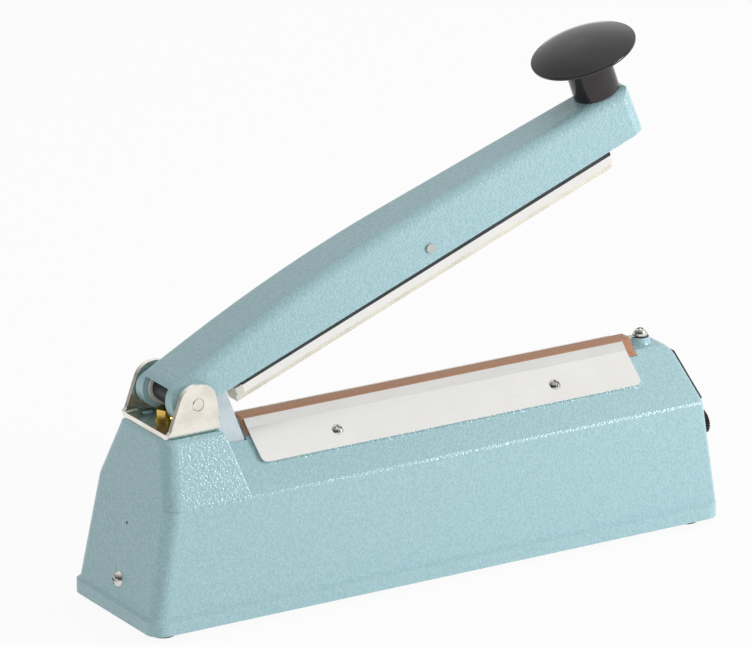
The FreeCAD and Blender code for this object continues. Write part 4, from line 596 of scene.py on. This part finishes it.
def stand_of(node):
    """How far a node's nearest and farthest points stand from the front end, along the timer's axis."""
    stands = [(vertex.co - ON_DIAL.translation).dot(outward) for vertex in nodes[node].data.vertices]
    return min(stands), max(stands)


def gather(name, meshes, material, body):
    """One piece from several meshes, carried to the timer's axis."""
    shape = bmesh.new()
    for mesh in meshes:
        shape.from_mesh(mesh)
    whole = bpy.data.meshes.new(name)
    shape.to_mesh(whole)
    shape.free()
    whole.transform(ON_DIAL)
    whole.materials.append(material)
    piece = bpy.data.objects.new(name, whole)
    scene.collection.objects.link(piece)
    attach(piece, body)
    return piece


def numeral_mesh(text, stand, angle):
    """A numeral that stands upright on the dial, at an angle round the timer's axis."""
    curve = bpy.data.curves.new("numeral_" + text, "FONT")
    curve.body, curve.size, curve.extrude = text, NUMERAL_SIZE, NUMERAL_PRINT
    curve.align_x, curve.align_y = "CENTER", "CENTER"
    piece = bpy.data.objects.new("numeral_" + text, curve)
    scene.collection.objects.link(piece)
    mesh = plain_mesh(piece)
    bpy.data.objects.remove(piece)
    upright = Matrix(((0, 0, 1, stand), (1, 0, 0, NUMERAL_RADIUS * math.sin(angle)),
                      (0, 1, 0, NUMERAL_RADIUS * math.cos(angle)), (0, 0, 0, 1)))
    mesh.transform(upright)
    return mesh


def mark_mesh(name, stand, half_width, length):
    """One printed mark on the dial's face, pointing outwards."""
    return box_mesh(name, (stand, -half_width, 0), (stand + MARK_PRINT, half_width, length))


# %% Dial marks and numerals
dial_face = stand_of("dial_plate")[1]
white = FINISHES["white_plastic"]
long_mark = mark_mesh("long_mark", dial_face, 0.25 * MM, 2.2 * MM)
short_mark = mark_mesh("short_mark", dial_face, 0.15 * MM, 1.3 * MM)
marks = [ring_mesh("long_marks", long_mark, white, STEPS + 1, MARK_RADIUS, FIRST, SWEEP / STEPS),
         ring_mesh("short_marks", short_mark, white, SHORT_MARKS + 1, MARK_RADIUS, FIRST,
                   SWEEP / SHORT_MARKS)]
for step in range(STEPS + 1):
    marks.append(numeral_mesh(str(step), dial_face + NUMERAL_PRINT, FIRST + SWEEP * step / STEPS))
gather("dial_marks", marks, white, "base")
print("dial marks stand", round(dial_face / MM, 2), "mm off the front end")

# %% [markdown]
# ## Timer knob
#
# The knob is a small black moulding with a plain skirt and fine grip ribs, and a white line shows its
# setting. The body is a profile turned round the axis with Spin, and the ribs are a second ring of copies.
# Together they take the place of the plain CAD knob and turn with the timer.


# %% Turned body
def turned_mesh(name, profile, segments):
    """A closed body turned round the X axis from (along, radius) points."""
    shape = bmesh.new()
    line = [shape.verts.new((along, 0, radius)) for along, radius in profile]
    edges = [shape.edges.new(pair) for pair in zip(line, line[1:])]
    bmesh.ops.spin(shape, geom=line + edges, cent=(0, 0, 0), axis=(1, 0, 0), angle=2 * math.pi,
                   steps=segments, use_duplicate=False)
    bmesh.ops.remove_doubles(shape, verts=shape.verts, dist=0.002 * MM)
    bmesh.ops.recalc_face_normals(shape, faces=shape.faces)
    for side in shape.faces:
        side.smooth = False
    mesh = bpy.data.meshes.new(name)
    shape.to_mesh(mesh)
    shape.free()
    return mesh


# %% Knob, ribs and pointer
knob_low, knob_high = stand_of("timer_knob")
KNOB_RADIUS, GRIP_RADIUS = 6.75 * MM, 6.1 * MM
KNOB_SEGMENTS, GRIP_RIBS, RIB_HALF = 64, 28, 0.3 * MM
profile = [(knob_low, 0), (knob_low, KNOB_RADIUS), (knob_low + 2.0 * MM, KNOB_RADIUS),
           (knob_low + 2.4 * MM, GRIP_RADIUS), (knob_high - 0.8 * MM, GRIP_RADIUS - 0.2 * MM),
           (knob_high - 0.2 * MM, GRIP_RADIUS - 0.7 * MM), (knob_high, GRIP_RADIUS - 1.3 * MM),
           (knob_high - 0.3 * MM, GRIP_RADIUS - 1.8 * MM), (knob_high - 0.3 * MM, 0)]
rib = box_mesh("grip_rib", (knob_low + 2.2 * MM, -RIB_HALF, -RIB_HALF),
               (knob_high - 0.8 * MM, RIB_HALF, 0.45 * MM))
black = FINISHES["black_plastic"]
knob_meshes = [turned_mesh("timer_knob_body", profile, KNOB_SEGMENTS),
               ring_mesh("grip_ribs", rib, black, GRIP_RIBS, GRIP_RADIUS, 0.0, 2 * math.pi / GRIP_RIBS)]
timer_cap = gather("timer_knob_cap", knob_meshes, black, "timer")
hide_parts("timer_knob")
pointer_line = box_mesh("pointer", (knob_high - 0.35 * MM, -0.4 * MM, 0.8 * MM),
                        (knob_high - 0.22 * MM, 0.4 * MM, 4.2 * MM))
pointer = ring_mesh("pointer", pointer_line, white, 1, 0.0, FIRST, 0.0)
gather("timer_pointer", [pointer], white, "timer")
print("timer knob", round((knob_high - knob_low) / MM, 1), "mm long")
